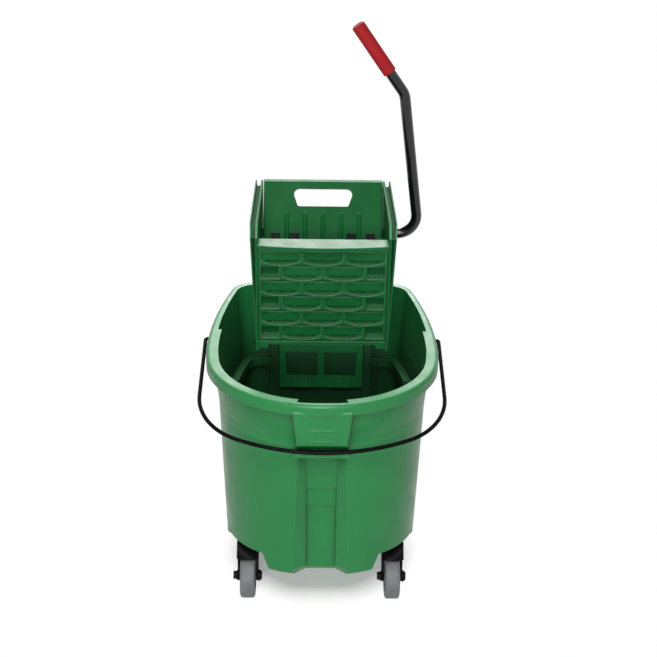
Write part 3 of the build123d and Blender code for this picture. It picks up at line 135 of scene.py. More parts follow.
class Web:
    """Node web of a material or of the world while it is put together.

    ray_samples is the number of rays that look for edges and hollows, and edge_turn is the loss of
    agreement between a face and its rounded normal that counts as a full edge.
    """

    ray_samples: int = 8
    edge_turn: float = 0.10

    def __init__(self, owner: bpy.types.Material | bpy.types.World) -> None:
        """Start an empty web.

        Args:
            owner: Material or world that the web belongs to.
        """
        owner.use_nodes = True
        self.owner = owner
        self.tree = owner.node_tree
        self.tree.nodes.clear()

    @cached_property
    def coordinates(self) -> bpy.types.Node:
        """Node with the piece's own coordinates, made at its first use."""
        return self.add("ShaderNodeTexCoord")

    def feed(self, socket: Socket, value: object) -> None:
        """Link an input to another socket, or set its value.

        Args:
            socket: Input to fill.
            value: Socket to link, or a plain value; a colour has three parts.
        """
        if isinstance(value, Socket):
            self.tree.links.new(value, socket)
        elif socket.type == "RGBA":
            socket.default_value = (*value, 1.0)
        else:
            socket.default_value = value

    def add(self, kind: str, **inputs: object) -> bpy.types.Node:
        """Add a node and fill its inputs by name.

        Args:
            kind: Blender's type name of the node.
            **inputs: Values or sockets by input name, with underscores for spaces.

        Returns:
            The new node.
        """
        node = self.tree.nodes.new(kind)
        for key, value in inputs.items():
            self.feed(node.inputs[key.replace("_", " ")], value)
        return node

    def fill(self, node: bpy.types.Node, *values: object) -> bpy.types.Node:
        """Fill the inputs of a node in order.

        Args:
            node: Node to fill.
            *values: Values or sockets.

        Returns:
            The same node.
        """
        for socket, value in zip(node.inputs, values):
            self.feed(socket, value)
        return node

    def reckon(self, way: Reckoning, *values: object) -> Socket:
        """Work out a value.

        Args:
            way: What to work out.
            *values: Values or sockets to work on.

        Returns:
            Socket with the result.
        """
        kind, operation = way.value
        node = self.tree.nodes.new(kind)
        node.operation = operation
        return self.fill(node, *values).outputs["Value"]

    def noise(self, pattern: Clouds) -> Socket:
        """Cloudy pattern in the piece's own space.

        Args:
            pattern: Its sizes.

        Returns:
            Socket with a value about 0.5.
        """
        scale = tuple(1.0 / (pattern.size * part) for part in pattern.stretch)
        place = self.add("ShaderNodeMapping", Vector=self.coordinates.outputs["Object"], Scale=scale)
        cloud = self.add("ShaderNodeTexNoise", Vector=place.outputs["Vector"], Scale=1.0,
                         Detail=pattern.octaves)
        return cloud.outputs["Fac"]

    def span(self, value: Socket, start: float, end: float, low: float, high: float) -> Socket:
        """Stretch a value from one range to another.

        Args:
            value: Socket to read.
            start: Value that becomes low.
            end: Value that becomes high.
            low: Result at the start.
            high: Result at the end.

        Returns:
            Socket with the clamped result.
        """
        node = self.add("ShaderNodeMapRange", Value=value, From_Min=start, From_Max=end,
                        To_Min=low, To_Max=high)
        return node.outputs["Result"]

    def clouds(self, pattern: Clouds, low: float = 0.0, high: float = 1.0) -> Socket:
        """Cloudy pattern, stretched between two values."""
        return self.span(self.noise(pattern), pattern.low, pattern.high, low, high)

    def blend(self, kind: Blend, share: Socket, first: object, second: object) -> Socket:
        """Blend two colours or two values.

        Args:
            kind: What is blended.
            share: Socket with the share of the second one.
            first: Colour, value or socket.
            second: Colour, value or socket.

        Returns:
            Socket with the blend.
        """
        data_type, first_input, second_input, output = kind.value
        node = self.tree.nodes.new("ShaderNodeMix")
        node.data_type = data_type
        for index, value in ((0, share), (first_input, first), (second_input, second)):
            self.feed(node.inputs[index], value)
        return node.outputs[output]

    def mix(self, share: Socket, first: object, second: object) -> Socket:
        """Blend two colours by the share of the second one."""
        return self.blend(Blend.COLOUR, share, first, second)

    def bump(self, pattern: Clouds, rise: float, normal: Socket | None = None) -> Socket:
        """Raise the surface by a cloudy pattern.

        Args:
            pattern: The pattern.
            rise: Height of the pattern.
            normal: Normal of a bump underneath.

        Returns:
            Socket with the new normal.
        """
        node = self.add("ShaderNodeBump", Height=self.noise(pattern), Strength=1.0, Distance=rise)
        if normal is not None:
            self.feed(node.inputs["Normal"], normal)
        return node.outputs["Normal"]

    def rounded(self, radius: float) -> Socket:
        """Normal that runs round the sharp edges of a piece.

        Args:
            radius: Radius of the rounded edges.

        Returns:
            Socket with the normal.
        """
        node = self.add("ShaderNodeBevel", Radius=radius)
        node.samples = self.ray_samples
        return node.outputs["Normal"]

    def edges(self, round_normal: Socket, most: float) -> Socket:
        """Share of painted highlight on the edges: none on a face, the most where the rounded normal leaves
        it.

        Args:
            round_normal: Normal that runs round the edges.
            most: Share on an edge.

        Returns:
            Socket with the share.
        """
        face = self.add("ShaderNodeNewGeometry").outputs["Normal"]
        agreement = self.reckon(Reckoning.AGREEMENT, round_normal, face)
        return self.span(agreement, 1.0, 1.0 - self.edge_turn, 0.0, most)

    def upward(self, start: float, end: float, most: float) -> Socket:
        """Share of painted light on the faces that look up.

        Args:
            start: Upward part of the normal where the painted light begins.
            end: Upward part of the normal where it is strongest.
            most: Share where it is strongest.

        Returns:
            Socket with the share.
        """
        parts = self.add("ShaderNodeSeparateXYZ", Vector=self.coordinates.outputs["Normal"])
        return self.span(parts.outputs["Z"], start, end, 0.0, most)

    def openness(self, reach: float) -> Socket:
        """How open a place is: 1 on an outer face, towards 0 deep in a hollow of the same piece.

        Args:
            reach: How far the walls around a place count.

        Returns:
            Socket with the openness.
        """
        node = self.add("ShaderNodeAmbientOcclusion", Distance=reach)
        node.only_local = True
        node.samples = self.ray_samples
        return node.outputs["AO"]

    def seen(self) -> Socket:
        """Share of rays that meet the backdrop straight, by reflection or through glass.

        Returns:
            Socket with 1 for such a ray and 0 for any other.
        """
        path = self.add("ShaderNodeLightPath").outputs
        straight_or_mirrored = self.reckon(Reckoning.LARGER, path["Is Camera Ray"], path["Is Glossy Ray"])
        return self.reckon(Reckoning.LARGER, straight_or_mirrored, path["Is Transmission Ray"])

    def close(self, shader: bpy.types.Node) -> bpy.types.Material | bpy.types.World:
        """Join the shader to the output.

        Args:
            shader: Last node of the web.

        Returns:
            The material or world.
        """
        kind = "World" if isinstance(self.owner, bpy.types.World) else "Material"
        self.add("ShaderNodeOutput" + kind, Surface=shader.outputs[0])
        return self.owner


def shade(colour: Colour, factor: float) -> Colour:
    """Colour made darker or lighter by a factor."""
    return tuple(min(1.0, part * factor) for part in colour)


def painted_light_tone(colour: Colour, lift: float = 0.12, gain: float = 2.0) -> Colour:
    """Paler tone painted where light falls: painted highlights on edges and painted light on faces that look
    up.
    """
    return tuple(min(1.0, lift + gain * part) for part in colour)


@dataclass(frozen=True)
class MouldedPlastic:
    """Moulded plastic with a fine grain, slow colour drift, faint flow streaks and specks.

    Shares run from 0 to 1, and a tone is a factor of the colour. Hollow shade is painted shade: a
    darker tone, and a rougher surface, that grow as the openness within the reach of hollow falls
    from clear to shut; crease shade is the same painted shade at a shorter reach. Top light is
    painted light: a paler tone on faces that look up, from top_light_from to top_light_full of the
    normal's upward part. Edge highlight is a painted highlight: a paler tone on the edges, which have
    the radius edge.
    """

    name: str
    colour: Colour
    roughness: float
    specular: float = 0.5
    edge: float = 0.6 * MM
    drift: float = 0.07
    drift_clouds: Clouds = Clouds(90 * MM, 3.0)
    streak: float = 0.05
    streak_tone: float = 1.6
    streak_clouds: Clouds = Clouds(9 * MM, 4.0, 0.35, 0.75, (1.0, 1.0, 12.0))
    speck: float = 0.2
    speck_tone: float = 0.7
    speck_clouds: Clouds = Clouds(0.7 * MM, 1.0, 0.68, 0.74)
    polish: float = 0.05
    scuff: float = 0.07
    scuff_clouds: Clouds = Clouds(28 * MM, 5.0, 0.35, 0.7)
    grain: Clouds = Clouds(0.9 * MM, 2.0)
    grain_rise: float = 0.015 * MM
    sink: Clouds = Clouds(55 * MM, 1.0)
    sink_rise: float = 0.2 * MM
    hollow_shade: float = 0.0
    hollow_shade_tone: float = 0.1
    hollow_roughness: float = 0.8
    hollow: float = 20 * MM
    shut: float = 0.3
    clear: float = 0.9
    crease_shade: float = 0.0
    crease_shade_tone: float = 0.3
    crease_reach: float = 22 * MM
    crease_shut: float = 0.5
    crease_clear: float = 0.97
    edge_highlight: float = 0.0
    top_light: float = 0.0
    top_light_from: float = 0.8
    top_light_full: float = 0.97

    def material(self) -> bpy.types.Material:
        """Put the finish together.

        Returns:
            Its material.
        """
        web = Web(bpy.data.materials.new(self.name))
        body = web.mix(web.clouds(self.drift_clouds),
                       shade(self.colour, 1 - self.drift), shade(self.colour, 1 + self.drift))
        flow = web.clouds(self.streak_clouds, high=self.streak)
        body = web.mix(flow, body, shade(self.colour, self.streak_tone))
        specks = web.clouds(self.speck_clouds, high=self.speck)
        body = web.mix(specks, body, shade(self.colour, self.speck_tone))
        dull = web.clouds(self.scuff_clouds, self.roughness - self.polish, self.roughness + self.scuff)
        # Painted light: faces that look up are painted paler.
        if self.top_light > 0:
            lit_from_above = web.upward(self.top_light_from, self.top_light_full, self.top_light)
            body = web.mix(lit_from_above, body, painted_light_tone(self.colour))
        # Painted shade: places deep in a hollow of the piece are painted darker, and made rougher.
        if self.hollow_shade > 0:
            deep = web.span(web.openness(self.hollow), self.shut, self.clear, self.hollow_shade, 0.0)
            body = web.mix(deep, body, shade(self.colour, self.hollow_shade_tone))
            dull = web.blend(Blend.VALUE, deep, dull, self.hollow_roughness)
        # Painted shade: tight creases of the piece are painted darker.
        if self.crease_shade > 0:
            tight = web.span(web.openness(self.crease_reach), self.crease_shut, self.crease_clear,
                             self.crease_shade, 0.0)
            body = web.mix(tight, body, shade(self.colour, self.crease_shade_tone))
        soft = web.rounded(self.edge)
        # Painted highlight: the edges are painted paler.
        if self.edge_highlight > 0:
            body = web.mix(web.edges(soft, self.edge_highlight), body, painted_light_tone(self.colour))
        normal = web.bump(self.grain, self.grain_rise, web.bump(self.sink, self.sink_rise, soft))
        shader = web.add("ShaderNodeBsdfPrincipled", Base_Color=body, Roughness=dull, Normal=normal,
                         Specular_IOR_Level=self.specular)
        return web.close(shader)


@dataclass(frozen=True)
class CoatedSteel:
    """Steel under a baked coat, with orange peel and a few dull patches."""

    name: str
    colour: Colour
    roughness: float
    coat: float
    specular: float
    coat_roughness: float = 0.08
    edge: float = 0.4 * MM
    dark_tone: float = 0.8
    light_tone: float = 1.3
    tone_clouds: Clouds = Clouds(30 * MM, 4.0, 0.35, 0.7)
    dulling: float = 0.1
    dull_clouds: Clouds = Clouds(22 * MM, 5.0, 0.4, 0.75)
    peel: Clouds = Clouds(3.0 * MM, 1.0)
    peel_rise: float = 0.012 * MM

    def material(self) -> bpy.types.Material:
        """Put the finish together.

        Returns:
            Its material.
        """
        web = Web(bpy.data.materials.new(self.name))
        body = web.mix(web.clouds(self.tone_clouds),
                       shade(self.colour, self.dark_tone), shade(self.colour, self.light_tone))
        dull = web.clouds(self.dull_clouds, self.roughness, self.roughness + self.dulling)
        normal = web.bump(self.peel, self.peel_rise, web.rounded(self.edge))
        shader = web.add("ShaderNodeBsdfPrincipled", Base_Color=body, Roughness=dull, Normal=normal,
                         Coat_Weight=self.coat, Coat_Roughness=self.coat_roughness,
                         Specular_IOR_Level=self.specular)
        return web.close(shader)


@dataclass(frozen=True)
class PlatedSteel:
    """Bare plated steel with fine turning lines and a cloudy passivation."""

    name: str
    colour: Colour
    roughness: float
    dark_tone: float = 0.75
    light_tone: float = 1.1
    tone_clouds: Clouds = Clouds(6 * MM, 4.0, 0.3, 0.75)
    polish: float = 0.08
    scuff: float = 0.12
    scuff_clouds: Clouds = Clouds(2 * MM, 3.0)
    lines: Clouds = Clouds(0.5 * MM, 2.0, stretch=(8.0, 1.0, 1.0))
    line_rise: float = 0.01 * MM

    def material(self) -> bpy.types.Material:
        """Put the finish together.

        Returns:
            Its material.
        """
        web = Web(bpy.data.materials.new(self.name))
        body = web.mix(web.clouds(self.tone_clouds),
                       shade(self.colour, self.dark_tone), shade(self.colour, self.light_tone))
        worn = web.clouds(self.scuff_clouds, self.roughness - self.polish, self.roughness + self.scuff)
        normal = web.bump(self.lines, self.line_rise)
        shader = web.add("ShaderNodeBsdfPrincipled", Base_Color=body, Roughness=worn, Normal=normal,
                         Metallic=1.0)
        return web.close(shader)


@dataclass(frozen=True)
class WheelRubber:
    """Grey tyre compound, dusty and scuffed."""

    name: str
    colour: Colour
    roughness: float
    specular: float = 0.35
    dark_tone: float = 0.86
    light_tone: float = 1.1
    tone_clouds: Clouds = Clouds(14 * MM, 4.0)
    dust: float = 0.35
    dust_tone: float = 0.55
    dust_clouds: Clouds = Clouds(1.6 * MM, 3.0, 0.6, 0.72)
    scuff: float = 0.1
    scuff_clouds: Clouds = Clouds(5 * MM, 4.0)
    pits: Clouds = Clouds(1.1 * MM, 3.0)
    pit_rise: float = 0.05 * MM

    def material(self) -> bpy.types.Material:
        """Put the finish together.

        Returns:
            Its material.
        """
        web = Web(bpy.data.materials.new(self.name))
        body = web.mix(web.clouds(self.tone_clouds),
                       shade(self.colour, self.dark_tone), shade(self.colour, self.light_tone))
        body = web.mix(web.clouds(self.dust_clouds, high=self.dust), body, shade(self.colour, self.dust_tone))
        worn = web.clouds(self.scuff_clouds, self.roughness - self.scuff, self.roughness + self.scuff)
        normal = web.bump(self.pits, self.pit_rise)
        shader = web.add("ShaderNodeBsdfPrincipled", Base_Color=body, Roughness=worn, Normal=normal,
                         Specular_IOR_Level=self.specular)
        return web.close(shader)


Finish = MouldedPlastic | CoatedSteel | PlatedSteel | WheelRubber

FINISHES: dict[Slot, Finish] = {
    # The tub's green has painted shade in its hollows and creases, painted highlights on its edges and
    # painted light on faces that look up.
    Slot.GREEN: MouldedPlastic("green_plastic", (0.017, 0.200, 0.054), 0.34, specular=0.30, edge=1.5 * MM,
                               hollow_shade=0.9, hollow=400 * MM, shut=0.25, clear=0.80, crease_shade=0.7,
                               edge_highlight=0.25, top_light=0.6),
    Slot.LEVER: CoatedSteel("lever_black", (0.004, 0.004, 0.0045), 0.18, coat=0.3, specular=0.4),
    Slot.NYLON: MouldedPlastic("black_nylon", (0.003, 0.003, 0.0033), 0.42, specular=0.06),
    Slot.GRIP: MouldedPlastic("red_grip", (0.36, 0.017, 0.020), 0.55, specular=0.10, edge=2.0 * MM,
                              grain=Clouds(2.5 * MM, 2.0), grain_rise=0.004 * MM, sink_rise=0.06 * MM),
    Slot.ZINC: PlatedSteel("zinc_plate", (0.56, 0.57, 0.58), 0.34),
    Slot.CASTER: CoatedSteel("caster_black", (0.003, 0.003, 0.0033), 0.38, coat=0.0, specular=0.06),
    Slot.CORE: MouldedPlastic("wheel_core", (0.14, 0.14, 0.145), 0.5, specular=0.35),
    Slot.TREAD: WheelRubber("wheel_tread", (0.18, 0.18, 0.185), 0.58),
}

BAIL_COAT = CoatedSteel("bail_black", (0.003, 0.003, 0.0033), 0.36, coat=0.0, specular=0.05)
# The wringer's greens have painted highlights on their edges and painted light on faces that look up, and all
# but the press plate's have painted shade in their hollows.
PLATE_PLASTIC = MouldedPlastic("plate_green", (0.0075, 0.118, 0.030), 0.34, specular=0.03, edge=1.4 * MM,
                               edge_highlight=0.5, top_light=0.9)
WRINGER_PLASTIC = MouldedPlastic("wringer_green", (0.0085, 0.124, 0.032), 0.32, specular=0.12, edge=1.8 * MM,
                                 hollow_shade=0.3, hollow=25 * MM, shut=0.2, clear=0.7, edge_highlight=0.5, top_light=0.45)
SIDE_PLASTIC = MouldedPlastic("side_green", (0.0085, 0.120, 0.032), 0.7, specular=0.07, edge=0.6 * MM,
                              hollow_shade=0.8, hollow=14 * MM, shut=0.35, clear=0.9, edge_highlight=0.5,
                              top_light=0.75, top_light_from=0.3, top_light_full=0.6)
# Painted light: the rear frame's green is the wringer's green painted about twice as light, so its bars look
# lit. It also has a little painted shade in its hollows and painted highlights on its edges.
FRAME_LIGHTENED_PLASTIC = MouldedPlastic("frame_green_lightened", (0.022, 0.250, 0.068), 0.38, specular=0.16, edge=1.0 * MM,
                               hollow_shade=0.15, hollow=25 * MM, edge_highlight=0.2)

WRINGER_FINISHES: dict[str, Finish] = {
    "front_panel": WRINGER_PLASTIC,
    "drip_grid": WRINGER_PLASTIC,
    "side_left": SIDE_PLASTIC,
    "side_right": SIDE_PLASTIC,
    "rear_frame": FRAME_LIGHTENED_PLASTIC,
}


class Wardrobe:
    """Materials of the finishes, each made once."""

    def __init__(self) -> None:
        """Start with no material made."""
        self.made: dict[Finish, bpy.types.Material] = {}

    def cover(self, obj: bpy.types.Object, finish: Finish) -> None:
        """Put one finish on a whole piece.

        Args:
            obj: Piece to cover.
            finish: Finish to use; its material is made at its first use.
        """
        if finish not in self.made:
            self.made[finish] = finish.material()
        obj.data.materials.clear()
        obj.data.materials.append(self.made[finish])


@dataclass(frozen=True)
class SoftEdges:
    """Small rounds on the sharp edges of a moulded or machined piece."""

    width: float
    segments: int = 2
    angle: float = math.radians(32)
    face_weight: int = 80

    def apply(self, obj: bpy.types.Object) -> None:
        """Add the modifiers that round the edges.

        Args:
            obj: Piece whose edges become soft.
        """
        weld = obj.modifiers.new("weld", "WELD")
        weld.merge_threshold = WELD
        soft = obj.modifiers.new("soft_edges", "BEVEL")
        soft.width = self.width
        soft.segments = self.segments
        soft.limit_method = "ANGLE"
        soft.angle_limit = self.angle
        soft.use_clamp_overlap = False
        soft.harden_normals = False
        even = obj.modifiers.new("even_shading", "WEIGHTED_NORMAL")
        even.keep_sharp = True
        even.weight = self.face_weight


def shell_boxes(obj: bpy.types.Object) -> list[tuple[Vector, Vector]]:
    """Boxes of the separate shells of a node.

    Args:
        obj: Node with one or more shells.

    Returns:
        Lowest and highest corner of each shell.
    """
    spots: dict[tuple[int, ...], int] = {}
    place = []
    for vert in obj.data.vertices:
        spot = tuple(round(part / WELD) for part in vert.co)
        place.append(spots.setdefault(spot, len(spots)))
    head = list(range(len(spots)))

    def first(spot: int) -> int:
        """First spot of the shell that a spot belongs to.

        Args:
            spot: Number of a spot.

        Returns:
            Number of the first spot.
        """
        while head[spot] != spot:
            head[spot] = head[head[spot]]
            spot = head[spot]
        return spot

    for edge in obj.data.edges:
        head[first(place[edge.vertices[0]])] = first(place[edge.vertices[1]])
    shells: dict[int, list[Vector]] = {}
    for vert in obj.data.vertices:
        shells.setdefault(first(place[vert.index]), []).append(vert.co)
    boxes = []
    for points in shells.values():
        low = Vector(min(point[axis] for point in points) for axis in range(3))
        high = Vector(max(point[axis] for point in points) for axis in range(3))
        boxes.append((low, high))
    return sorted(boxes, key=lambda box: tuple(box[0]))


def add_rings(bm: bmesh.types.BMesh, rings: list[list[Vector]]) -> list[list[bmesh.types.BMVert]]:
    """Skin a row of closed rings with the same number of points.

    Args:
        bm: Mesh to add to.
        rings: Points of each ring, in order.

    Returns:
        The new vertices, ring by ring.
    """
    made = [[bm.verts.new(point) for point in ring] for ring in rings]
    for lower, upper in zip(made, made[1:]):
        for index in range(len(lower)):
            after = (index + 1) % len(lower)
            bm.faces.new((lower[index], lower[after], upper[after], upper[index]))
    return made


def add_closed(bm: bmesh.types.BMesh, rings: list[list[Vector]]) -> None:
    """Skin a row of closed rings and cap its first and last ring.

    Args:
        bm: Mesh to add to.
        rings: Points of each ring, in order.
    """
    made = add_rings(bm, rings)
    bm.faces.new(list(reversed(made[0])))
    bm.faces.new(made[-1])


@dataclass(frozen=True)
class PanScrew:
    """Pan-head screw with a cross recess; its seat is the origin and its head points to +Z.

    The tip is in shares of the shank's radius, the head's outline in shares of its radius and rise,
    and the recess in shares of the head's radius, apart from its depth, a share of the rise.
    """

    head_radius: float
    head_rise: float
    shank_radius: float
    shank_length: float
    sides: int = 28
    tip_share: float = 0.4
    tip_slope: float = 0.6
    head: tuple[tuple[float, float], ...] = ((0.95, 0.0), (1.0, 0.12), (1.0, 0.45), (0.94, 0.72),
                                             (0.82, 0.91), (0.64, 1.0))
    arm: float = 0.50
    arm_half: float = 0.12
    deep: float = 0.55
    taper: float = 0.8

    def profile(self) -> list[tuple[float, float]]:
        """Outline of the screw without its recess.

        Returns:
            Radius and height from the tip to the edge of the flat top.
        """
        thin, long = self.shank_radius, self.shank_length
        shank = [(self.tip_share * thin, -long), (thin, -long + self.tip_slope * thin), (thin, 0.0)]
        return shank + [(wide * self.head_radius, high * self.head_rise) for wide, high in self.head]

    def cross(self, height: float, share: float) -> list[Vector]:
        """Outline of the recess at a height.

        Args:
            height: Height over the seat.
            share: How much of its full width it keeps.

        Returns:
            Corners of the cross.
        """
        far, near = (part * self.head_radius * share for part in (self.arm, self.arm_half))
        corners = []
        for quarter in range(4):
            turn = Matrix.Rotation(quarter * QUARTER, 3, "Z")
            for x, y in ((far, -near), (far, near), (near, near)):
                corners.append(turn @ Vector((x, y, 0.0)) + Vector((0.0, 0.0, height)))
        return corners

    def add(self, bm: bmesh.types.BMesh, place: Matrix) -> None:
        """Add one screw.

        Args:
            bm: Mesh to add to.
            place: Where the screw sits.
        """
        turns = [2 * math.pi * index / self.sides for index in range(self.sides)]
        rings = []
        for radius, height in self.profile():
            points = [Vector((radius * math.cos(turn), radius * math.sin(turn), height)) for turn in turns]
            rings.append([place @ point for point in points])
        body = add_rings(bm, rings)
        bm.faces.new(list(reversed(body[0])))
        floor = self.head_rise * (1 - self.deep)
        recess = add_rings(bm, [[place @ point for point in self.cross(self.head_rise, 1.0)],
                                [place @ point for point in self.cross(floor, self.taper)]])
        bm.faces.new(recess[1])
        edges = []
        for loop in (body[-1], recess[0]):
            for index, vert in enumerate(loop):
                edges.append(bm.edges.get((vert, loop[(index + 1) % len(loop)])))
        bmesh.ops.triangle_fill(bm, edges=edges, use_beauty=True)


@dataclass
class Assembly:
    """Group of frame nodes on some bodies, with the pieces that are added to them."""

    frame: dict
    wardrobe: Wardrobe
    bodies: tuple[str, ...]
    soft: SoftEdges | None = None

    def slot_of(self, node: str) -> Slot:
        """Slot that the record names for a node."""
        rows = {row["node"]: row["material_slot"] for row in self.frame["record"]["subparts"]}
        return Slot(rows[node])

    def nodes(self) -> list[str]:
        """Names of the frame nodes that ride on this group's bodies."""
        held = self.frame["record"]["behaviour"]["bodies"]
        return [node for body in self.bodies for node in held[body]]

    def finish_of(self, node: str) -> Finish:
        """Finish of a node: its slot's, unless a group gives it one of its own."""
        return FINISHES[self.slot_of(node)]

    def build(self) -> None:
        """Make the pieces that the frame lacks; none unless a group says so."""

    def dress(self) -> None:
        """Give every node of the group its finish and its rounds."""
        for node in self.nodes():
            obj = self.frame["nodes"][node]
            self.wardrobe.cover(obj, self.finish_of(node))
            if self.soft is not None and node not in OWN_ROUNDS:
                self.soft.apply(obj)
            LOG.info("dressed %s", node)

    def publish(self, name: str, bm: bmesh.types.BMesh, body: str, slot: Slot,
                hides: tuple[str, ...] = ()) -> None:
        """Turn a finished mesh into a piece of the part.

        Args:
            name: Name of the piece.
            bm: Its mesh, which is freed.
            body: Body that it rides on.
            slot: Slot that it takes its finish from.
            hides: Frame nodes that it stands for.
        """
        bmesh.ops.recalc_face_normals(bm, faces=bm.faces)
        for face in bm.faces:
            face.smooth = True
        mesh = bpy.data.meshes.new(name)
        bm.to_mesh(mesh)
        bm.free()
        mesh.set_sharp_from_angle(angle=SHARP)
        obj = bpy.data.objects.new(name, mesh)
        bpy.context.scene.collection.objects.link(obj)
        self.wardrobe.cover(obj, FINISHES[slot])
        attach(obj, body)
        if hides:
            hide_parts(*hides)
        LOG.info("built %s", name)


@dataclass
class Bucket(Assembly):
    """Tub with the caster plates under it and a bare plate on its front pad.

    The face of the pad falls back by pad_back over its height. The edges of the bare plate are in
    shares of its rise: how far in, and how high. A screw's head is screw_head_ratio times its shank.
    """

    plate_middle: Point = (0.0, -0.2477, 0.3495)
    pad_high: float = 65 * MM
    pad_back: float = 14 * MM
    plate_size: tuple[float, float] = (44 * MM, 23 * MM)
    plate_corner: float = 4 * MM
    corner_steps: int = 6
    plate_rise: float = 0.9 * MM
    plate_border: float = 1.7 * MM
    plate_sunk: float = 0.4 * MM
    outer_edge: tuple[tuple[float, float], ...] = ((0.0, 0.6), (0.15, 0.88), (0.45, 1.0))
    inner_edge: tuple[tuple[float, float], ...] = ((0.0, 1.0), (0.35, 0.85), (0.5, 0.45))
    screw_head_rise: float = 2.0 * MM
    screw_head_ratio: float = 1.5

    def plate_outline(self, inset: float, height: float) -> list[Vector]:
        """Rounded outline of the bare plate, on the pad.

        Args:
            inset: How far it is drawn in.
            height: Height over the pad.

        Returns:
            Points of the outline.
        """
        across, up = (size / 2 - inset for size in self.plate_size)
        corner = self.plate_corner - inset
        lean = math.atan2(self.pad_back, self.pad_high)
        place = Matrix.Translation(self.plate_middle) @ Matrix.Rotation(QUARTER + lean, 4, "X")
        points = []
        for quarter, (right, over) in enumerate(((1, 1), (-1, 1), (-1, -1), (1, -1))):
            for step in range(self.corner_steps + 1):
                turn = (quarter + step / self.corner_steps) * QUARTER
                x = right * (across - corner) + corner * math.cos(turn)
                y = over * (up - corner) + corner * math.sin(turn)
                points.append(place @ Vector((x, y, height)))
        return points

    def build_plate(self) -> None:
        """Make the bare plate with its raised border."""
        steps = [(0.0, -self.plate_sunk)]
        for start, edge in ((0.0, self.outer_edge), (self.plate_border, self.inner_edge)):
            steps += [(start + far * self.plate_rise, high * self.plate_rise) for far, high in edge]
        bm = bmesh.new()
        add_closed(bm, [self.plate_outline(inset, height) for inset, height in steps])
        self.publish("front_plate", bm, "bucket", Slot.GREEN)

    def build_screws(self) -> None:
        """Make the screws of the caster plates, heads down."""
        bm = bmesh.new()
        for low, high in shell_boxes(self.frame["nodes"]["caster_screws"]):
            wide = (high.x - low.x) / 2
            seat = Vector(((low.x + high.x) / 2, (low.y + high.y) / 2, low.z + self.screw_head_rise))
            screw = PanScrew(wide, self.screw_head_rise, wide / self.screw_head_ratio, high.z - seat.z)
            screw.add(bm, Matrix.Translation(seat) @ Matrix.Rotation(math.pi, 4, "X"))
        self.publish("plate_screws", bm, "bucket", Slot.ZINC, ("caster_screws",))

    def build(self) -> None:
        """Make the bare plate and the screws of the caster plates."""
        self.build_plate()
        self.build_screws()


@dataclass
class Wringer(Assembly):
    """Housing of the wringer: panels, frame, grid and fasteners.

    A screw's head is screw_head_ratio times its shank, and the turn of its recess, in radians,
    changes with its height on the panel.
    """

    screw_head_rise: float = 3.0 * MM
    screw_head_ratio: float = 1.9
    screw_turn: float = 0.4
    screw_turn_per_metre: float = 40.0

    def build(self) -> None:
        """Make the screws of the side panels."""
        bm = bmesh.new()
        for low, high in shell_boxes(self.frame["nodes"]["wringer_screws"]):
            side = 1.0 if low.x + high.x > 0 else -1.0
            wide = (high.z - low.z) / 2
            end = high.x if side > 0 else low.x
            seat = Vector((end - side * self.screw_head_rise, (low.y + high.y) / 2, (low.z + high.z) / 2))
            length = high.x - low.x - self.screw_head_rise
            screw = PanScrew(wide, self.screw_head_rise, wide / self.screw_head_ratio, length)
            recess = self.screw_turn + self.screw_turn_per_metre * seat.z
            turn = Matrix.Rotation(side * QUARTER, 4, "Y") @ Matrix.Rotation(recess, 4, "Z")
            screw.add(bm, Matrix.Translation(seat) @ turn)
        self.publish("panel_screws", bm, "wringer", Slot.CASTER, ("wringer_screws",))

    def finish_of(self, node: str) -> Finish:
        """Greens of their own for the mouldings of the wringer."""
        return WRINGER_FINISHES.get(node) or super().finish_of(node)


@dataclass
class Press(Assembly):
    """Press plate with its two toothed sectors."""

    def finish_of(self, node: str) -> Finish:
        """Green of its own for the plate that presses the mop."""
        return PLATE_PLASTIC if node == "press_plate" else super().finish_of(node)


@dataclass
class Lever(Assembly):
    """Bent lever with grip, pinions and pins."""


@dataclass
class Bail(Assembly):
    """Bent wire handle of the tub."""

    def finish_of(self, node: str) -> Finish:
        """Dull black coat of the wire."""
        return BAIL_COAT


@dataclass
class Caster(Assembly):
    """One swivel caster: fork, axle and wheel, with ribs in the recesses of the hub.

    One side of a rib's crown is in shares of its half width and its rise.
    """

    ribs: int = 6
    rib_in: float = 10.6 * MM
    rib_out: float = 27.2 * MM
    rib_half: float = 1.4 * MM
    rib_rise: float = 3.2 * MM
    rib_root: float = 0.3 * MM
    rib_draft: float = 1.15
    rib_crown: tuple[tuple[float, float], ...] = ((1.0, 0.75), (0.7, 0.95))
    dish: float = 4.0 * MM

    def rib_section(self) -> list[tuple[float, float]]:
        """Cross-section of a rib.

        Returns:
            Points across the rib and out of the hub.
        """
        right = [(self.rib_draft * self.rib_half, -self.rib_root)]
        right += [(wide * self.rib_half, high * self.rib_rise) for wide, high in self.rib_crown]
        left = [(-across, out) for across, out in reversed(right)]
        return right + [(0.0, self.rib_rise)] + left

    def build(self) -> None:
        """Make the ribs of both hub faces."""
        corner = self.bodies[0].rpartition("_")[2]
        low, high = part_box("caster_hub_" + corner)
        middle = (low + high) / 2
        bm = bmesh.new()
        for side in (-1.0, 1.0):
            floor = side * ((high.x - low.x) / 2 - self.dish)
            for index in range(self.ribs):
                turn = Matrix.Rotation(2 * math.pi * (index + 0.5) / self.ribs, 3, "X")
                rings = []
                for radius in (self.rib_in, self.rib_out):
                    rings.append([middle + turn @ Vector((floor + side * out, across, radius))
                                  for across, out in self.rib_section()])
                add_closed(bm, rings)
        self.publish("hub_ribs_" + corner, bm, "wheel_" + corner, Slot.CORE)


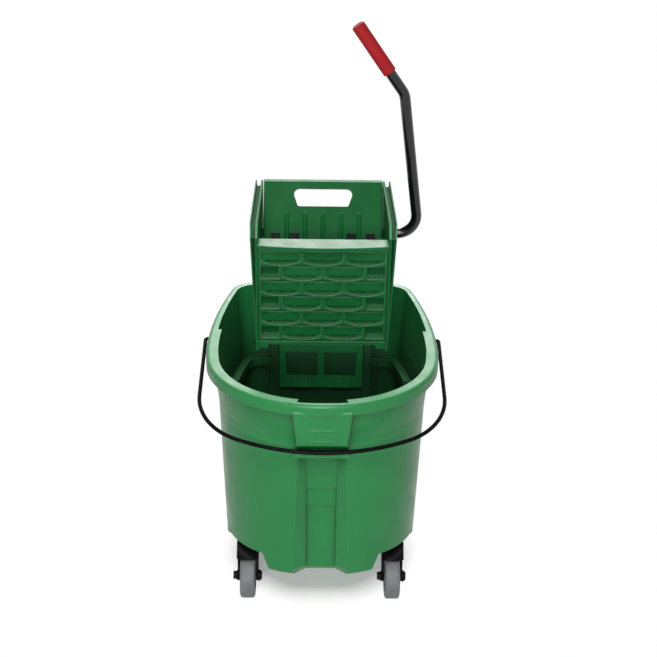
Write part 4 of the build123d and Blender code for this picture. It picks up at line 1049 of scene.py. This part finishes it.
def assemblies(frame: dict, wardrobe: Wardrobe) -> list[Assembly]:
    """Put the frame's bodies into sub-assemblies.

    Args:
        frame: Loaded frame.
        wardrobe: Materials of the finishes.

    Returns:
        Groups in the order in which they are built.
    """
    fine = SoftEdges(0.4 * MM)
    groups: list[Assembly] = [
        Bucket(frame, wardrobe, ("bucket",), fine),
        Bail(frame, wardrobe, ("bail",)),
        Wringer(frame, wardrobe, ("wringer",), fine),
        Press(frame, wardrobe, ("press",), fine),
        Lever(frame, wardrobe, ("lever",), fine),
    ]
    for corner in CORNERS:
        groups.append(Caster(frame, wardrobe, ("fork_" + corner, "wheel_" + corner), fine))
    return groups


@dataclass(frozen=True)
class SoftBox:
    """Soft lamp with a rectangular face."""

    name: str
    place: Point
    aim: Point
    wide: float
    high: float
    watts: float

    def hang(self) -> None:
        """Hang the lamp at its place, out of the camera's sight."""
        light = bpy.data.lights.new(self.name, "AREA")
        light.shape = "RECTANGLE"
        light.size = self.wide
        light.size_y = self.high
        light.energy = self.watts
        obj = bpy.data.objects.new(self.name, light)
        obj.visible_camera = False
        turn = (Vector(self.aim) - Vector(self.place)).to_track_quat("-Z", "Y")
        obj.matrix_world = Matrix.Translation(self.place) @ turn.to_matrix().to_4x4()
        bpy.context.scene.collection.objects.link(obj)


SOFT_BOXES = (
    SoftBox("front_box", place=(-0.15, -2.4, 0.95), aim=(0.0, 0.0, 0.35), wide=0.7, high=0.6, watts=27.0),
    SoftBox("key_box", place=(-0.12, -1.65, 2.05), aim=(0.0, -0.1, 0.35), wide=0.7, high=0.9, watts=29.0),
    SoftBox("back_box", place=(0.04, 2.4, 2.3), aim=(0.0, 0.0, 0.45), wide=0.9, high=2.2, watts=48.0),
)


@dataclass
class Studio:
    """Plain white studio with soft light, and the camera of the photograph.

    The floor keeps the shadow in an oval under the part and fades to white around it.
    """

    eye: Point = (-0.0163, -1.9996, 1.1577)
    pitch: float = math.radians(19.83)
    yaw: float = math.radians(0.765)
    roll: float = math.radians(0.81)
    focal_px: float = 1253.4
    frame_px: float = 657.0
    sensor_mm: float = 36.0
    sight: float = 100.0
    floor_half: float = 12.0
    floor_dark: Colour = (0.80, 0.80, 0.80)
    floor_light: Colour = (0.83, 0.83, 0.83)
    floor_clouds: Clouds = Clouds(0.4, 2.0)
    floor_glow: float = 0.26
    fade_near: float = 0.14
    fade_far: float = 0.20
    fade_middle: float = 0.03
    fade_wide: float = 1.12
    ambient: float = 0.04

    def camera(self) -> None:
        """Place the camera."""
        ahead = Vector((math.sin(self.yaw) * math.cos(self.pitch),
                        math.cos(self.yaw) * math.cos(self.pitch),
                        -math.sin(self.pitch)))
        right = Vector((math.cos(self.yaw), -math.sin(self.yaw), 0.0))
        up = right.cross(ahead)
        tilted = right * math.cos(self.roll) + up * math.sin(self.roll)
        upright = up * math.cos(self.roll) - right * math.sin(self.roll)
        lens = bpy.data.cameras.new("camera")
        lens.sensor_width = self.sensor_mm
        lens.lens = self.focal_px / self.frame_px * self.sensor_mm
        lens.clip_end = self.sight
        eye = bpy.data.objects.new("camera", lens)
        turn = Matrix((tilted, upright, -ahead)).transposed().to_4x4()
        eye.matrix_world = Matrix.Translation(self.eye) @ turn
        bpy.context.scene.collection.objects.link(eye)
        bpy.context.scene.camera = eye

    def floor_material(self) -> bpy.types.Material:
        """Pale matte floor that turns white to the camera away from the part.

        Returns:
            Its material.
        """
        web = Web(bpy.data.materials.new("pale_floor"))
        seen = web.seen()
        pale = web.mix(web.clouds(self.floor_clouds), self.floor_dark, self.floor_light)
        matte = web.add("ShaderNodeBsdfDiffuse", Color=pale)
        strength = web.span(seen, 0.0, 1.0, 0.0, self.floor_glow)
        glow = web.add("ShaderNodeEmission", Color=WHITE, Strength=strength)
        lit = web.fill(web.add("ShaderNodeAddShader"), matte.outputs[0], glow.outputs[0])
        white = web.add("ShaderNodeEmission", Color=WHITE, Strength=1.0)
        oval = web.add("ShaderNodeMapping", Vector=web.coordinates.outputs["Object"],
                       Location=(0.0, -self.fade_middle, 0.0), Scale=(self.fade_wide, 1.0, 1.0))
        away = web.reckon(Reckoning.LENGTH, oval.outputs["Vector"])
        far = web.span(away, self.fade_near, self.fade_far, 0.0, 1.0)
        share = web.reckon(Reckoning.PRODUCT, far, seen)
        return web.close(web.fill(web.add("ShaderNodeMixShader"), share, lit.outputs[0], white.outputs[0]))

    def floor(self) -> None:
        """Lay the floor."""
        half = self.floor_half
        corners = [(-half, -half, 0.0), (half, -half, 0.0), (half, half, 0.0), (-half, half, 0.0)]
        mesh = bpy.data.meshes.new("floor")
        mesh.from_pydata(corners, [], [(0, 1, 2, 3)])
        mesh.materials.append(self.floor_material())
        floor = bpy.data.objects.new("floor", mesh)
        bpy.context.scene.collection.objects.link(floor)

    def world(self) -> None:
        """White backdrop with a low ambient light."""
        web = Web(bpy.data.worlds.new("studio"))
        level = web.span(web.seen(), 0.0, 1.0, self.ambient, 1.0)
        sky = web.add("ShaderNodeBackground", Color=WHITE, Strength=level)
        bpy.context.scene.world = web.close(sky)

    def build(self) -> None:
        """Set up camera, floor, backdrop and lamps."""
        self.camera()
        self.floor()
        self.world()
        for box in SOFT_BOXES:
            box.hang()
        bpy.context.scene.view_settings.view_transform = "Standard"
        LOG.info("studio set")


def main() -> None:
    """Load the frame, dress it and set the studio."""
    logging.basicConfig(level=logging.INFO, format="%(name)s: %(message)s")
    for obj in list(bpy.data.objects):
        bpy.data.objects.remove(obj)
    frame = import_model()
    wardrobe = Wardrobe()
    for assembly in assemblies(frame, wardrobe):
        assembly.dress()
        assembly.build()
    Studio().build()


if __name__ == "__main__":
    main()
